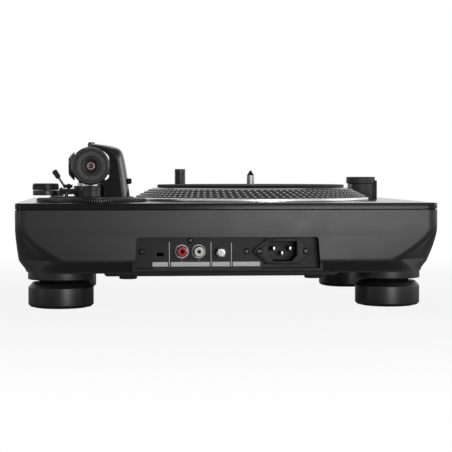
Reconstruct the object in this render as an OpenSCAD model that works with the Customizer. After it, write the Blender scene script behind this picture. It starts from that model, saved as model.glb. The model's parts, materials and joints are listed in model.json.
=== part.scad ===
// Compact direct-drive record player: a two-piece chassis on four levelling feet,
// a seven-inch platter, a gimballed straight arm on a height ring, and a recessed
// connector panel at the back. +Z is up, the player stands at -Y, and the origin is
// on the floor under the middle of the chassis.

/* [Chassis] */
// Width of the chassis
body_w = 360; // [352:2:420]
// Depth of the chassis
body_d = 300; // [290:2:360]
// Corner radius of the chassis in plan
corner_r = 10; // [6:1:16]
// Thickness of the top plate
plate_t = 5.2; // [4.2:0.2:8]
// Height of the moulded shell, from its underside to its upper rim
shell_h = 53.6; // [50:0.2:70]
// Shadow gap between the shell and the top plate
seam_gap = 0.8; // [0.4:0.1:1.6]
// Wall thickness of the moulded shell
wall = 3; // [2:0.25:4]
// Height of the slanted undercut below the shell's faces
undercut_h = 10; // [7:0.5:12]
// How far the undercut draws in at the underside
undercut_in = 8; // [4:0.5:9]
// Height over which the corners are scooped away
scoop_h = 37.4; // [30:0.2:44]
// Length of each corner edge that the scoop takes at its foot
scoop_in = 34; // [26:1:38]
// Thickness of the bottom cover
cover_t = 2.7; // [2:0.1:3.2]
// Width of the bottom cover
cover_w = 201; // [180:1:208]
// Depth of the bottom cover
cover_d = 272; // [240:1:274]
// Radius of the round pads under the cover
cover_pad_r = 7.6; // [5:0.2:9]
// Thickness of those pads
cover_pad_t = 2.5; // [1.5:0.1:3]

/* [Feet] */
// Radius of a foot
foot_r = 28.1; // [24:0.1:30]
// Height of a foot's body
foot_h = 21.8; // [18:0.2:28]
// Gap between a foot's shoulder and its pillar
foot_gap = 2.5; // [1.5:0.1:4]
// Distance of a foot's axis from the chassis side
foot_inset_x = 37.4; // [34:0.2:44]
// Distance of a foot's axis from the front or rear face
foot_inset_y = 40; // [37:0.5:48]
// How far the corner pillars reach below the underside
pillar_drop = 6.3; // [5.5:0.1:9]
// Radius of a foot's levelling screw
stud_r = 4; // [3:0.5:5]
// Length of the levelling screw inside the pillar
stud_len = 18; // [12:1:20]

/* [Platter] */
// Platter axis to the left of the chassis middle
platter_left = 33; // [28:1:38]
// Platter axis in front of the chassis middle
platter_front = 5; // [0:1:8]
// Radius of the polished flange
platter_r = 111.5; // [106:0.5:112]
// Radius of the dotted cone at its foot
cone_r = 108; // [100:0.5:108]
// Radius of the platter's top rim
rim_r = 91.8; // [90:0.2:96]
// Height of the platter
platter_h = 10.8; // [9:0.2:14]
// Gap between the platter's skirt and the top plate
platter_gap = 0.8; // [0.5:0.1:2]
// Radius of the slipmat
mat_r = 88.5; // [85:0.5:89]
// Thickness of the slipmat
mat_t = 2.6; // [1.5:0.1:3]
// Radius of the record pin
pin_r = 3.6; // [3.5:0.01:3.62]
// Height of the record pin above the slipmat
pin_h = 13.3; // [10:0.1:16]
// Radius of the platter shaft
shaft_r = 5; // [4:0.25:6]

/* [Arm] */
// Arm pivot to the right of the chassis middle
pivot_x = 116.5; // [112:0.5:122]
// Arm pivot behind the chassis middle
pivot_y = 75; // [70:0.5:78]
// Height of the arm's tilt axis above the top plate
arm_h = 31.3; // [31:0.1:36]
// Outer radius of the height ring
ring_r = 48.6; // [44:0.2:50]
// Inner radius of the height ring
ring_bore_r = 37.8; // [34:0.2:40]
// Thickness of the height ring
ring_t = 3; // [2:0.1:3.2]
// Travel of the arm base on the height ring
lift_travel = 6; // [4:0.5:8]
// Distance from the pivot to the stylus
arm_len = 156; // [140:1:160]
// Outer radius of the arm tube
tube_r = 4.9; // [4:0.1:5.5]
// Wall thickness of the arm tube
tube_wall = 1; // [0.6:0.1:1.5]
// Radius of the counterweight
weight_r = 16.2; // [12:0.1:16.6]
// Length of the counterweight
weight_len = 32; // [24:1:34]
// Pivot to the rear face of the counterweight
weight_back = 65; // [60:0.5:68]
// Forward travel of the counterweight on its shaft
weight_travel = 10; // [4:0.5:10]
// Radius of the counterweight's shaft
rear_r = 4.4; // [3.5:0.1:5]
// Radius of the anti-skate dial
skate_r = 11.6; // [9:0.1:12]
// Distance of the anti-skate dial from the pivot
skate_off = 40.5; // [39:0.5:44]

/* [Controls] */
// Travel of the pitch fader each way
fader_travel = 30; // [20:1:40]
// Pitch fader to the right of the chassis middle
fader_x = 152; // [148:0.5:156]
// Side of the square start button
start_size = 24; // [18:0.5:26]
// Width of a speed button
speed_w = 14; // [10:0.5:16]
// Depth of a speed button
speed_d = 9; // [7:0.5:12]
// How far the buttons press down
button_travel = 1.2; // [0.8:0.1:1.6]
// Radius of the strobe tower's cap
tower_r = 14.3; // [12:0.1:14.6]
// Height of the strobe tower with its cap
tower_h = 21.6; // [20:0.2:28]
// Radius of the target light
light_r = 5.5; // [4:0.1:6.5]
// Height of the raised target light above the top plate
light_h = 29.5; // [24:0.5:34]

/* [Connectors] */
// Depth of the connector recess
recess_depth = 12; // [11:0.5:14]
// Width of the connector recess at its top
recess_w = 154; // [150:1:160]
// Height of the connector recess
recess_h = 26.6; // [25:0.2:28]
// Thickness of the connector panel
panel_t = 1.5; // [1:0.1:2]
// Spacing of the two audio sockets
rca_pitch = 14.2; // [13.6:0.1:16]
// Outer radius of an audio socket
rca_r = 4.15; // [4.1:0.01:4.2]

/* [Hidden] */
$fn = 96;

// Clearances
run_gap = 0.05;    // radial gap of a running fit
seat_gap = 0.02;   // radial gap of a piece seated in its own body
rest_gap = 0.3;    // gap between bodies that move apart
slot_gap = 0.4;    // gap round a button or stem

// Heights, from the floor up
pillar_z = foot_h + foot_gap;
under_z = pillar_z + pillar_drop;
face_z = under_z + undercut_h;
scoop_z = under_z + scoop_h;
rim_z = under_z + shell_h;
plate_z = rim_z + seam_gap;
deck_z = plate_z + plate_t;

// Chassis faces
side_x = body_w / 2;
back_y = body_d / 2;
foot_x = side_x - foot_inset_x;
foot_y = back_y - foot_inset_y;
pillar_r = foot_r + 0.2;
draft = 0.8;
lip_in = wall / 2;
sole_r = 23.5;
sole_t = 2;
neck_r = 18.6;

// Bottom cover
cover_x = 5.5;
cover_y = 2;
cover_edge = 2.5;
window_margin = 9;
pad_x = 79.5;
pad_y = cover_d / 2 - 7;
screw_r = 1.5;
cover_clear = 3;
cover_screw_edge = 6;
cover_screw_x = min(cover_w / 2 - cover_screw_edge,
    foot_x - pillar_r - cover_x - cover_clear - 2 * screw_r);
cover_screw_y = [-cover_d / 2 + 8, -42, 42, cover_d / 2 - 22];
screw_head_r = 2.6;
screw_head_t = 0.9;
board_post_h = 7;
board_post_r = 3;
board_t = 1.6;
power_board_at = [-50, 72];
power_board_size = [62, 70];
main_board_at = [45, -20];
main_board_size = [88, 120];

// Platter and motor
platter_x = -platter_left;
platter_y = -platter_front;
platter_z = deck_z + platter_gap;
platter_top = platter_z + platter_h;
flange_t = 3;
platter_deck = 4.5;
platter_wall = 3.5;
mat_z = platter_top + rest_gap;
mat_top = mat_z + mat_t;
hub_r = 14;
hub_z = platter_top - 8.3;
mat_pin_r = pin_r + 0.2;
pin_tip = 1.2;
stator_r = 44.5;
stator_h = 7;
stator_bore = 22;
magnet_in = stator_r + 1.5;
magnet_out = magnet_in + 7;
well_r = magnet_out + 5;
motor_disc_r = well_r + 10;
motor_disc_t = 3;
housing_r = 10;
bush_r = 7;
housing_z = plate_z - 29;
housing_floor = 2;
thrust_t = 1.5;
shaft_foot = housing_z + housing_floor + thrust_t + 0.1;

// Arm
arm_z = deck_z + arm_h;
ring_z = deck_z + rest_gap;
tier_r = ring_bore_r - 0.6;
tier_z = deck_z + 1;
tier_top = deck_z + 4.6;
pedestal_r = 15.7;
gimbal_out = 14.6;
gimbal_in = 11;
gimbal_w = 8;
gimbal_low = arm_z - gimbal_out;
collar_top = gimbal_low - 0.5;
collar_r = 12.6;
pedestal_top = collar_top - 2.2;
piston_r = 24;
socket_r = piston_r + 3;
socket_len = lift_travel + 18;
pivot_pin_r = 3;
pivot_pin_len = 9;
boss_r = 9.4;
boss_off = 15;
arch_out = 33.8;
arch_front = -5;
arch_depth = 22;
arch_under = arm_z + gimbal_out + 0.9;
arch_top = arch_under + 4.6;
arch_end_r = 3.4;
arch_knee = [-27.6, 11.2];
arch_flank = [[-31.8, -11], [-30.6, 2]];
arch_shoulder = [[-25.4, 17.6], [-18, arch_top - arm_z - 2.4]];
leg_in = 16.6;
leg_waist = -14.2;
leg_foot = 10.2;
leg_round = 5.9;
tip_r = 1.8;
knob_y = pivot_y + 6;
knob_z = deck_z + 18.1;
knob_face = 31.6;
cap_r = 12.6;
barrel_r = 7.5;
barrel_front = 10;
tilt_pin_r = 1.5;
tube_end = arm_len - 29;
collar_len = 10;
collar_ring_r = 6.3;
shell_tip = arm_len + 13;
shell_half_w = 9;
weight_front = weight_back - weight_len;
dial_t = 3.7;
dial_r = 13;
shaft_tip = weight_back - 3;
shaft_root = weight_front - rest_gap - dial_t - weight_travel - 7;
lifter_r = 27;
lifter_angle = 22;
lifter_w = 4;
lifter_spread = 36;
lifter_travel = 5;
lifter_top = arm_z - tube_r - rest_gap;
lifter_t = 2.5;
lifter_pin_r = 1.7;
lifter_post_r = 5;
lifter_post_top = lifter_top - lifter_t - lifter_travel - rest_gap;
lifter_x = pivot_x - lifter_r * sin(lifter_angle);
lifter_y = pivot_y - lifter_r * cos(lifter_angle);
skate_x = pivot_x + skate_off;
skate_seat_top = deck_z + 10;
skate_h = 5.9;
skate_pin_r = 2;
shelf_top = skate_seat_top + 1.4;
shelf_t = 2;
shelf_front = pivot_y - 17;
shelf_back = pivot_y + 9;
lever_x = pivot_x + 20.5;
lever_y = pivot_y - 13;
lever_hub_r = 1.8;
lever_z = shelf_top + lever_hub_r + rest_gap + 0.05;
lever_pin_r = 1.5;
lever_wall = 1.2;
lever_lean = 33;
rest_y = pivot_y - 80;
rest_post_r = 4;
rest_shelf_t = 3;
rest_shelf_w = 6;
rest_shelf_in = 5;
clip_pin_r = 1.5;
clip_pin_len = 5;
rest_x = pivot_x + tube_r + rest_post_r + 0.6;
clip_z = arm_z + tube_r + rest_gap + 0.1;
clip_t = 2.3;

// Controls
fader_y = rest_y - 65;
fader_slot_w = 4;
fader_stem_w = fader_slot_w - 2 * slot_gap;
fader_stem_d = 6;
fader_cap_w = 12;
fader_cap_d = 18;
fader_cap_h = 8;
fader_box_w = 14;
fader_box_h = 10;
fader_box_end = 5;
start_x = -side_x + 28;
start_y = -back_y + 22;
speed_y = -back_y + 14;
speed_x = [start_x + 30, start_x + 50];
button_proud = button_travel + 1;
button_skirt = 9;
tower_x = -side_x + 31.2;
tower_clear = 3.27;
tower_reach = platter_r + tower_clear + tower_r;
tower_y = platter_y - sqrt(max(0, pow(tower_reach, 2) - pow(tower_x - platter_x, 2)));
tower_cap_h = 6.6;
dial_stem_r = 2;
dial_stem_len = 4.5;
tower_body_r = tower_r - 1.1;
tower_body_top = deck_z + tower_h - tower_cap_h - rest_gap;
guard_out = tower_r + 2;
window_x = 4.2;
window_w = 17;
window_z = 6.6;
light_off = [61.5, -117];
light_x = platter_x + light_off[0];
light_y = platter_y + light_off[1];
light_travel = 24;
light_wall = 2;
light_foot = 20;

// Connectors
panel_y = back_y - recess_depth;
recess_x = 1;
recess_z = under_z + 4.3;
recess_flare = 1.9;
recess_top = recess_z + recess_h;
panel_margin = 2.2;
socket_z = recess_z + 14;
rca_x = 32.3;
rca_len = 8;
rca_wall = 0.45;
rca_flange = 0.7;
rca_flange_t = 1.2;
rca_behind = 8;
rca_contact_r = 1.6;
rca_inset = 0.6;
inlet_x = -46.3;
inlet_z = recess_z + 14;
inlet_screw_x = 20;
inlet_body_w = 30.4;
inlet_body_h = 21.8;
inlet_hole_w = 24.5;
inlet_hole_h = 16.9;
inlet_flange_t = 3;
inlet_depth = 17;
port_x = 58;
port_z = recess_z + 11.4;
ground_x = 6.3;
ground_z = recess_z + 13.1;
panel_screws = [[73.7, recess_z + 13.9], [32.3, recess_z + 23.2], [-15.8, recess_z + 13.8]];

// Corners of the chassis, as [right or left, rear or front]
corners = [[1, 1], [-1, 1], [1, -1], [-1, -1]];

// Point at t on the curve from a to d with the handles b and c
function curve(a, b, c, d, t) =
    a * pow(1 - t, 3) + b * 3 * t * pow(1 - t, 2) + c * 3 * t * t * (1 - t) + d * pow(t, 3);

// Rectangle with round corners
module rounded_rect(w, d, r) {
    square([w - 2 * r, d], center = true);
    square([w, d - 2 * r], center = true);
    for (sx = [-1, 1], sy = [-1, 1])
        translate([sx * (w / 2 - r), sy * (d / 2 - r)])
            circle(r);
}

// Rectangle with its corners cut at 45 degrees
module cut_rect(w, d, c) {
    polygon([[w / 2 - c, d / 2], [w / 2, d / 2 - c], [w / 2, c - d / 2], [w / 2 - c, -d / 2],
        [c - w / 2, -d / 2], [-w / 2, c - d / 2], [-w / 2, d / 2 - c], [c - w / 2, d / 2]]);
}

// Outline in X and Z pushed out from y0 towards the rear
module along_y(y0, len) {
    translate([0, y0 + len, 0])
        rotate([90, 0, 0])
            linear_extrude(len)
                children();
}

// Round bar along Y
module rod_y(r, len) {
    rotate([-90, 0, 0])
        cylinder(r = r, h = len);
}

// Round bar along X
module rod_x(r, len) {
    rotate([0, 90, 0])
        cylinder(r = r, h = len);
}

// Form of the moulded shell, drawn in by a wall and starting at height z0
module shell_form(inset, z0, z1) {
    w = body_w - 2 * inset;
    d = body_d - 2 * inset;
    hull() {
        translate([0, 0, scoop_z])
            linear_extrude(z1 - scoop_z)
                rounded_rect(w, d, corner_r, $fn = 32);
        translate([0, 0, face_z])
            linear_extrude(0.1)
                cut_rect(w - 2 * draft, d - draft, scoop_in);
        translate([0, 0, z0])
            linear_extrude(0.1)
                cut_rect(w - 2 * undercut_in, d - 2 * undercut_in, scoop_in);
    }
}

// Outline of the connector recess, wider towards the bottom
module recess_outline(grow) {
    top_w = recess_w / 2 + grow;
    low_w = top_w + recess_flare;
    polygon([[recess_x - low_w, recess_z - grow], [recess_x + low_w, recess_z - grow],
        [recess_x + top_w, recess_top + grow], [recess_x - top_w, recess_top + grow]]);
}

module top_plate() {
    color("#2b2c2e")
        difference() {
            translate([0, 0, plate_z])
                linear_extrude(plate_t)
                    rounded_rect(body_w, body_d, corner_r);
            translate([0, 0, plate_z - 1]) {
                translate([platter_x, platter_y, 0])
                    cylinder(r = well_r, h = plate_t + 2);
                translate([pivot_x, pivot_y, 0])
                    cylinder(r = socket_r + seat_gap, h = plate_t + 2);
                translate([light_x, light_y, 0])
                    cylinder(r = light_r + light_wall + run_gap + seat_gap, h = plate_t + 2);
                translate([fader_x, fader_y, 0])
                    linear_extrude(plate_t + 2)
                        square([fader_slot_w, 2 * fader_travel + fader_stem_d + 2], center = true);
                translate([start_x, start_y, 0])
                    linear_extrude(plate_t + 2)
                        square(start_size + 2 * slot_gap, center = true);
                for (x = speed_x)
                    translate([x, speed_y, 0])
                        linear_extrude(plate_t + 2)
                            square([speed_w + 2 * slot_gap, speed_d + 2 * slot_gap], center = true);
            }
        }
}

module base_shell() {
    boss_len = stud_len + 4;
    color("#303234")
        difference() {
            union() {
                difference() {
                    shell_form(0, under_z, rim_z);
                    shell_form(wall, under_z + wall, rim_z + 1);
                }
                intersection() {
                    along_y(panel_y, recess_depth)
                        recess_outline(panel_margin);
                    shell_form(0, under_z, rim_z);
                }
                translate([0, 0, rim_z - 2])
                    linear_extrude(seam_gap + 2)
                        difference() {
                            rounded_rect(body_w - 2 * lip_in, body_d - 2 * lip_in, corner_r - 1);
                            rounded_rect(body_w - 2 * wall, body_d - 2 * wall, corner_r - wall + 1);
                        }
                for (c = corners)
                    translate([c[0] * foot_x, c[1] * foot_y, pillar_z])
                        cylinder(r = pillar_r, h = pillar_drop + undercut_h - 1.5);
            }
            for (c = corners)
                translate([c[0] * foot_x, c[1] * foot_y, pillar_z + wall])
                    difference() {
                        cylinder(r = pillar_r - wall, h = pillar_drop + undercut_h);
                        translate([0, 0, -1])
                            cylinder(r = stud_r + 4, h = boss_len);
                    }
            for (c = corners)
                translate([c[0] * foot_x, c[1] * foot_y, pillar_z - 1])
                    cylinder(r = stud_r + run_gap, h = boss_len + wall);
            along_y(panel_y - 1, recess_depth + 2)
                recess_outline(0);
            translate([cover_x, cover_y, under_z - 1])
                linear_extrude(wall + 2)
                    square([cover_w - 2 * window_margin, cover_d - 2 * window_margin - 24], center = true);
            for (sx = [-1, 1], y = cover_screw_y)
                translate([cover_x + sx * cover_screw_x, cover_y + y, under_z - 1])
                    cylinder(r = screw_r + seat_gap, h = wall + 2);
        }
}

module bottom_cover() {
    color("#1d1e20")
        difference() {
            union() {
                along_y(cover_y - cover_d / 2, cover_d)
                    polygon([[cover_x - cover_w / 2, under_z], [cover_x + cover_w / 2, under_z],
                        [cover_x + cover_w / 2 - cover_edge, under_z - cover_t],
                        [cover_x - cover_w / 2 + cover_edge, under_z - cover_t]]);
                board_posts(power_board_at, power_board_size);
                board_posts(main_board_at, main_board_size);
            }
            for (sx = [-1, 1], y = cover_screw_y)
                translate([cover_x + sx * cover_screw_x, cover_y + y, under_z - cover_t - 1])
                    cylinder(r = screw_r + seat_gap, h = cover_t + 2);
            for (c = corners)
                translate([c[0] * foot_x, c[1] * foot_y, under_z - cover_t - 1])
                    cylinder(r = pillar_r + cover_clear, h = cover_t + 2);
        }
}

// Round pads under the corners of the bottom cover
module cover_pads() {
    color("#151515")
        for (sx = [-1, 1], sy = [-1, 1])
            translate([cover_x + sx * pad_x, cover_y + sy * pad_y, under_z - cover_t - cover_pad_t])
                cylinder(r = cover_pad_r, h = cover_pad_t);
}

// Screws of the bottom cover, the connector panel and the mains inlet
module case_screws() {
    color("#3c3c3e") {
        for (sx = [-1, 1], y = cover_screw_y)
            translate([cover_x + sx * cover_screw_x, cover_y + y, under_z - cover_t - screw_head_t]) {
                cylinder(r = screw_head_r, h = screw_head_t);
                cylinder(r = screw_r, h = screw_head_t + cover_t + wall - 0.5);
            }
        for (p = panel_screws)
            translate([p[0], panel_y - panel_t - 3, p[1]])
                panel_screw(3 + panel_t);
        for (sx = [-1, 1])
            translate([inlet_x + sx * inlet_screw_x, panel_y - panel_t - 3, inlet_z])
                panel_screw(3 + panel_t + inlet_flange_t);
    }
}

// Pan-head screw whose head seats len above its tip
module panel_screw(len) {
    rod_y(screw_r, len);
    translate([0, len, 0])
        rod_y(screw_head_r, 1.3);
}

// Levelling foot at one corner: chamfered body, narrow neck and screw
module foot(c) {
    color("#232425")
        translate([c[0] * foot_x, c[1] * foot_y, 0])
            rotate_extrude()
                polygon([[0, sole_t], [sole_r + seat_gap, sole_t], [sole_r + seat_gap, 0.8],
                    [foot_r - 1.5, 0.8], [foot_r, 2.3], [foot_r, foot_h - 4.4],
                    [foot_r - 3.8, foot_h], [neck_r, foot_h], [neck_r, pillar_z - rest_gap],
                    [stud_r, pillar_z - rest_gap], [stud_r, pillar_z + stud_len - 1],
                    [stud_r - 1, pillar_z + stud_len], [0, pillar_z + stud_len]]);
}

// Rubber sole set into a foot
module sole(c) {
    color("#111111")
        translate([c[0] * foot_x, c[1] * foot_y, 0])
            cylinder(r = sole_r, h = sole_t);
}

// Motor plate under the top plate, with the bearing housing in its middle
module motor_base() {
    color("#9a9c9f")
        translate([platter_x, platter_y, 0])
            rotate_extrude()
                polygon([[0, housing_z], [housing_r, housing_z], [housing_r, plate_z - motor_disc_t],
                    [motor_disc_r, plate_z - motor_disc_t], [motor_disc_r, plate_z],
                    [housing_r, plate_z], [housing_r, plate_z + 2], [bush_r + seat_gap, plate_z + 2],
                    [bush_r + seat_gap, housing_z + housing_floor], [0, housing_z + housing_floor]]);
}

// Stator with twelve wound poles
module motor_stator() {
    poles = 12;
    color("#b87333")
        translate([platter_x, platter_y, plate_z])
            difference() {
                cylinder(r = stator_r, h = stator_h);
                translate([0, 0, -1])
                    cylinder(r = stator_bore, h = stator_h + 2);
                for (i = [0 : poles - 1])
                    rotate([0, 0, i * 360 / poles])
                        translate([stator_bore + 6, -2, 1])
                            cube([stator_r, 4, stator_h]);
            }
}

// Two sintered bushes and the thrust pad of the platter bearing
module bearing_bushes() {
    bush_len = 10;
    color("#b08d57")
        translate([platter_x, platter_y, 0]) {
            translate([0, 0, housing_z + housing_floor])
                cylinder(r = bush_r, h = thrust_t);
            for (z = [housing_z + housing_floor + thrust_t + 1, plate_z + 2 - bush_len])
                translate([0, 0, z])
                    difference() {
                        cylinder(r = bush_r, h = bush_len);
                        translate([0, 0, -1])
                            cylinder(r = shaft_r + run_gap, h = bush_len + 2);
                    }
        }
}

module platter() {
    color("#8d9093")
        translate([platter_x, platter_y, 0])
            rotate_extrude($fn = 180)
                polygon([[shaft_r + seat_gap, hub_z], [hub_r, hub_z],
                    [hub_r, platter_top - platter_deck],
                    [rim_r - 4, platter_top - platter_deck],
                    [cone_r - platter_wall, platter_z + 1], [cone_r - platter_wall, platter_z],
                    [platter_r, platter_z], [platter_r, platter_z + flange_t],
                    [cone_r, platter_z + flange_t], [rim_r + 1.6, platter_top - 0.8],
                    [rim_r, platter_top], [shaft_r + seat_gap, platter_top]]);
}

// Ring magnet under the platter, round the stator
module rotor_magnet() {
    magnet_z = plate_z + 1;
    color("#4a4a4d")
        translate([platter_x, platter_y, magnet_z])
            difference() {
                cylinder(r = magnet_out, h = platter_top - platter_deck - magnet_z);
                translate([0, 0, -1])
                    cylinder(r = magnet_in, h = plate_t + platter_h + 4);
            }
}

// Platter shaft with its shoulder and the record pin
module spindle() {
    shoulder_r = shaft_r + 4;
    color("#c9ccd0")
        translate([platter_x, platter_y, 0])
            rotate_extrude()
                polygon([[0, shaft_foot], [shaft_r - 1, shaft_foot], [shaft_r, shaft_foot + 1],
                    [shaft_r, plate_z + 3], [shoulder_r, plate_z + 3], [shoulder_r, hub_z],
                    [shaft_r, hub_z], [shaft_r, platter_top], [mat_pin_r, platter_top],
                    [mat_pin_r, mat_top], [pin_r, mat_top], [pin_r, mat_top + pin_h - pin_tip],
                    [pin_r - pin_tip, mat_top + pin_h],
                    [0, mat_top + pin_h]]);
}

module slipmat() {
    color("#2c2d30")
        translate([platter_x, platter_y, mat_z])
            difference() {
                cylinder(r = mat_r, h = mat_t);
                translate([0, 0, -1])
                    cylinder(r = mat_pin_r + run_gap, h = mat_t + 2);
            }
}

// Fixed guide tube of the arm base, flanged under the top plate
module arm_socket() {
    color("#6d6f72")
        translate([pivot_x, pivot_y, 0])
            rotate_extrude()
                polygon([[piston_r + run_gap, deck_z - socket_len], [socket_r, deck_z - socket_len],
                    [socket_r, plate_z - 3], [socket_r + 7, plate_z - 3], [socket_r + 7, plate_z],
                    [socket_r, plate_z], [socket_r, deck_z], [piston_r + run_gap, deck_z]]);
}

// Height ring, turned to raise the arm base
module vta_ring() {
    color("#3a3c3e")
        translate([pivot_x, pivot_y, ring_z])
            rotate_extrude()
                polygon([[ring_bore_r, 0], [ring_r - 0.5, 0], [ring_r, 0.5], [ring_r, ring_t - 0.6],
                    [ring_r - 0.6, ring_t], [ring_bore_r, ring_t]]);
}

// Arm base: piston, round tier, pedestal, and the shelf that carries dial and cue lever
module arm_base() {
    piston_z = deck_z - socket_len + 2;
    rib_w = 10;
    color("#2f3133")
        difference() {
            union() {
                translate([pivot_x, pivot_y, 0])
                    rotate_extrude()
                        polygon([[piston_r - 3, piston_z], [piston_r, piston_z], [piston_r, tier_z],
                            [tier_r, tier_z], [tier_r, tier_top - 0.6], [tier_r - 0.6, tier_top],
                            [pedestal_r, tier_top], [pedestal_r, pedestal_top],
                            [collar_r, pedestal_top], [collar_r, collar_top], [0, collar_top],
                            [0, tier_z], [piston_r - 3, tier_z]]);
                translate([pivot_x, pivot_y + boss_off, tier_top - 1])
                    cylinder(r = boss_r, h = pedestal_top - tier_top + 0.3);
                translate([lifter_x, lifter_y, tier_top - 1])
                    cylinder(r = lifter_post_r, h = lifter_post_top - tier_top + 1);
                translate([pivot_x + 8, shelf_front, shelf_top - shelf_t])
                    cube([skate_off - skate_r - 8.4, shelf_back - shelf_front, shelf_t]);
                translate([pivot_x + 8, pivot_y - rib_w / 2, shelf_top - shelf_t - 3])
                    cube([skate_off - 12, rib_w, 3]);
                translate([skate_x, pivot_y, skate_seat_top - 4.4])
                    cylinder(r = skate_r - 0.2, h = 4.4);
                translate([lever_x + 1.7, pivot_y + 4, tier_top - 1])
                    cylinder(r = 1.6, h = shelf_top - tier_top);
                translate([lever_x - 2.5, lever_y - 4, shelf_top - 0.5])
                    cube([5, 8, lever_z + lever_pin_r + lever_wall - shelf_top + 0.5]);
                translate([skate_x - 13.8, pivot_y, shelf_top])
                    sphere(r = 1.3, $fn = 32);
            }
            translate([pivot_x, pivot_y, collar_top - pivot_pin_len])
                cylinder(r = pivot_pin_r + run_gap, h = pivot_pin_len + 1);
            translate([lifter_x, lifter_y, tier_top])
                cylinder(r = lifter_pin_r + run_gap, h = lifter_post_top);
            translate([skate_x, pivot_y, skate_seat_top - 3])
                cylinder(r = skate_pin_r + run_gap, h = 4);
            translate([lever_x - 4, lever_y, lever_z])
                rod_x(lever_pin_r + run_gap, 8);
        }
}

// Arch over the pivot: a leg on the platter side and a bridge to the upper bearing
module arm_arch() {
    steps = 10;
    foot_at = tier_top - arm_z;
    top_at = arch_top - arm_z;
    under_at = arch_under - arm_z;
    leg = [for (i = [0 : steps])
        curve([-arch_out, foot_at], arch_flank[0], arch_flank[1], arch_knee, i / steps)];
    shoulder = [for (i = [1 : steps])
        curve(arch_knee, arch_shoulder[0], arch_shoulder[1], [0, top_at], i / steps)];
    inside = [[0, under_at], [-4.6, under_at], [leg_round - leg_in, under_at - 2.3], [-leg_in, 9],
        [-leg_in, leg_waist], [-leg_foot, leg_waist - 3.4], [-leg_foot, foot_at]];
    color("#28292b")
        difference() {
            union() {
                translate([pivot_x, 0, arm_z])
                    along_y(pivot_y + arch_front, arch_depth)
                        polygon(concat(leg, shoulder, inside));
                translate([pivot_x, pivot_y, arch_under])
                    cylinder(r = arch_end_r, h = arch_top - arch_under);
            }
            translate([pivot_x, pivot_y, arch_under - 1])
                cylinder(r = tip_r + seat_gap, h = 8);
            translate([pivot_x - arch_out - 4, knob_y, knob_z])
                rod_x(screw_r + seat_gap, 12);
            translate([pivot_x, pivot_y + boss_off, tier_top - 1])
                cylinder(r = boss_r + seat_gap, h = pedestal_top - tier_top + 2);
            translate([pivot_x, pivot_y, tier_top - 1])
                cylinder(r = pedestal_r + seat_gap, h = pedestal_top - tier_top + 2);
        }
}

// Upper pivot screw and the small clamp knob on the arch's flank
module arch_screws() {
    tip_len = 2.2;
    color("#3b3c3f") {
        translate([pivot_x, pivot_y, arch_under - tip_len])
            cylinder(r = tip_r, h = arch_top - arch_under + tip_len);
        translate([pivot_x, pivot_y, arch_top])
            cylinder(r = 2.9, h = 1.2);
        translate([pivot_x - arch_out - 3.2, knob_y, knob_z]) {
            rod_x(2.4, arch_out + 3.2 - knob_face - 0.9);
            rod_x(screw_r, 10);
        }
    }
}

// Gimbal ring, turning on its lower pin and under the upper pivot screw
module gimbal_ring() {
    color("#313335")
        translate([pivot_x, pivot_y, arm_z])
            difference() {
                union() {
                    translate([0, -gimbal_w / 2, 0])
                        rod_y(gimbal_out, gimbal_w);
                    translate([gimbal_in + 0.5, 0, 0])
                        rod_x(8, 3.4);
                    translate([0, 0, -gimbal_out - pivot_pin_len + 0.2])
                        cylinder(r = pivot_pin_r, h = pivot_pin_len + 1.5);
                }
                translate([0, -gimbal_w, 0])
                    rod_y(gimbal_in, 2 * gimbal_w);
                translate([0, 0, gimbal_in])
                    cylinder(r = tip_r + run_gap, h = 5);
                translate([-gimbal_out + 0.6, 0, 0])
                    rod_x(tilt_pin_r + run_gap, 2 * gimbal_out);
            }
}

// Domed bearing cap on the outboard side of the gimbal, notched for a key
module gimbal_cap() {
    root = gimbal_in + 3.9;
    notches = 8;
    color("#3a3c3f")
        translate([pivot_x + root, pivot_y, arm_z])
            difference() {
                rotate([0, 90, 0])
                    rotate_extrude()
                        polygon([[0, 0], [cap_r, 0], [cap_r, 1.6], [cap_r - 1, 3.1],
                            [cap_r - 3.6, 4.6], [cap_r - 6.6, 5.4], [0, 5.4]]);
                for (i = [0 : notches - 1])
                    rotate([i * 360 / notches, 0, 0])
                        translate([2, 0, cap_r])
                            rod_x(1.5, 5);
            }
}

// Arm tube with the tilting barrel and its two pins
module arm_tube() {
    color("#a9abae")
        translate([pivot_x, pivot_y, arm_z]) {
            translate([0, -barrel_front, 0])
                rod_y(barrel_r, barrel_front + shaft_root);
            translate([0, -tube_end, 0])
                difference() {
                    rod_y(tube_r, tube_end);
                    translate([0, -1, 0])
                        rod_y(tube_r - tube_wall, tube_end - barrel_front);
                }
            translate([-gimbal_out + 0.8, 0, 0])
                rod_x(tilt_pin_r, 2 * gimbal_out - 1.6);
        }
}

// Threaded shaft of the counterweight with a drilled end
module rear_shaft() {
    color("#b8866b")
        translate([pivot_x, pivot_y, arm_z])
            difference() {
                translate([0, shaft_root, 0])
                    rod_y(rear_r, shaft_tip - shaft_root);
                translate([0, shaft_tip - 6, 0])
                    rod_y(1.2, 7);
            }
}

// Counterweight with the stepped rear face
module counterweight() {
    color("#3d3f41")
        translate([pivot_x, pivot_y + weight_front, arm_z])
            rotate([-90, 0, 0])
                rotate_extrude()
                    polygon([[rear_r + run_gap, 0], [weight_r - 1, 0], [weight_r, 1],
                        [weight_r, weight_len - 1.4], [weight_r - 1, weight_len],
                        [weight_r - 2.6, weight_len], [weight_r - 3, weight_len - 1.2],
                        [weight_r - 3.6, weight_len - 0.4], [8, weight_len - 0.4],
                        [7.8, weight_len - 5], [rear_r + run_gap, weight_len - 5]]);
}

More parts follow.
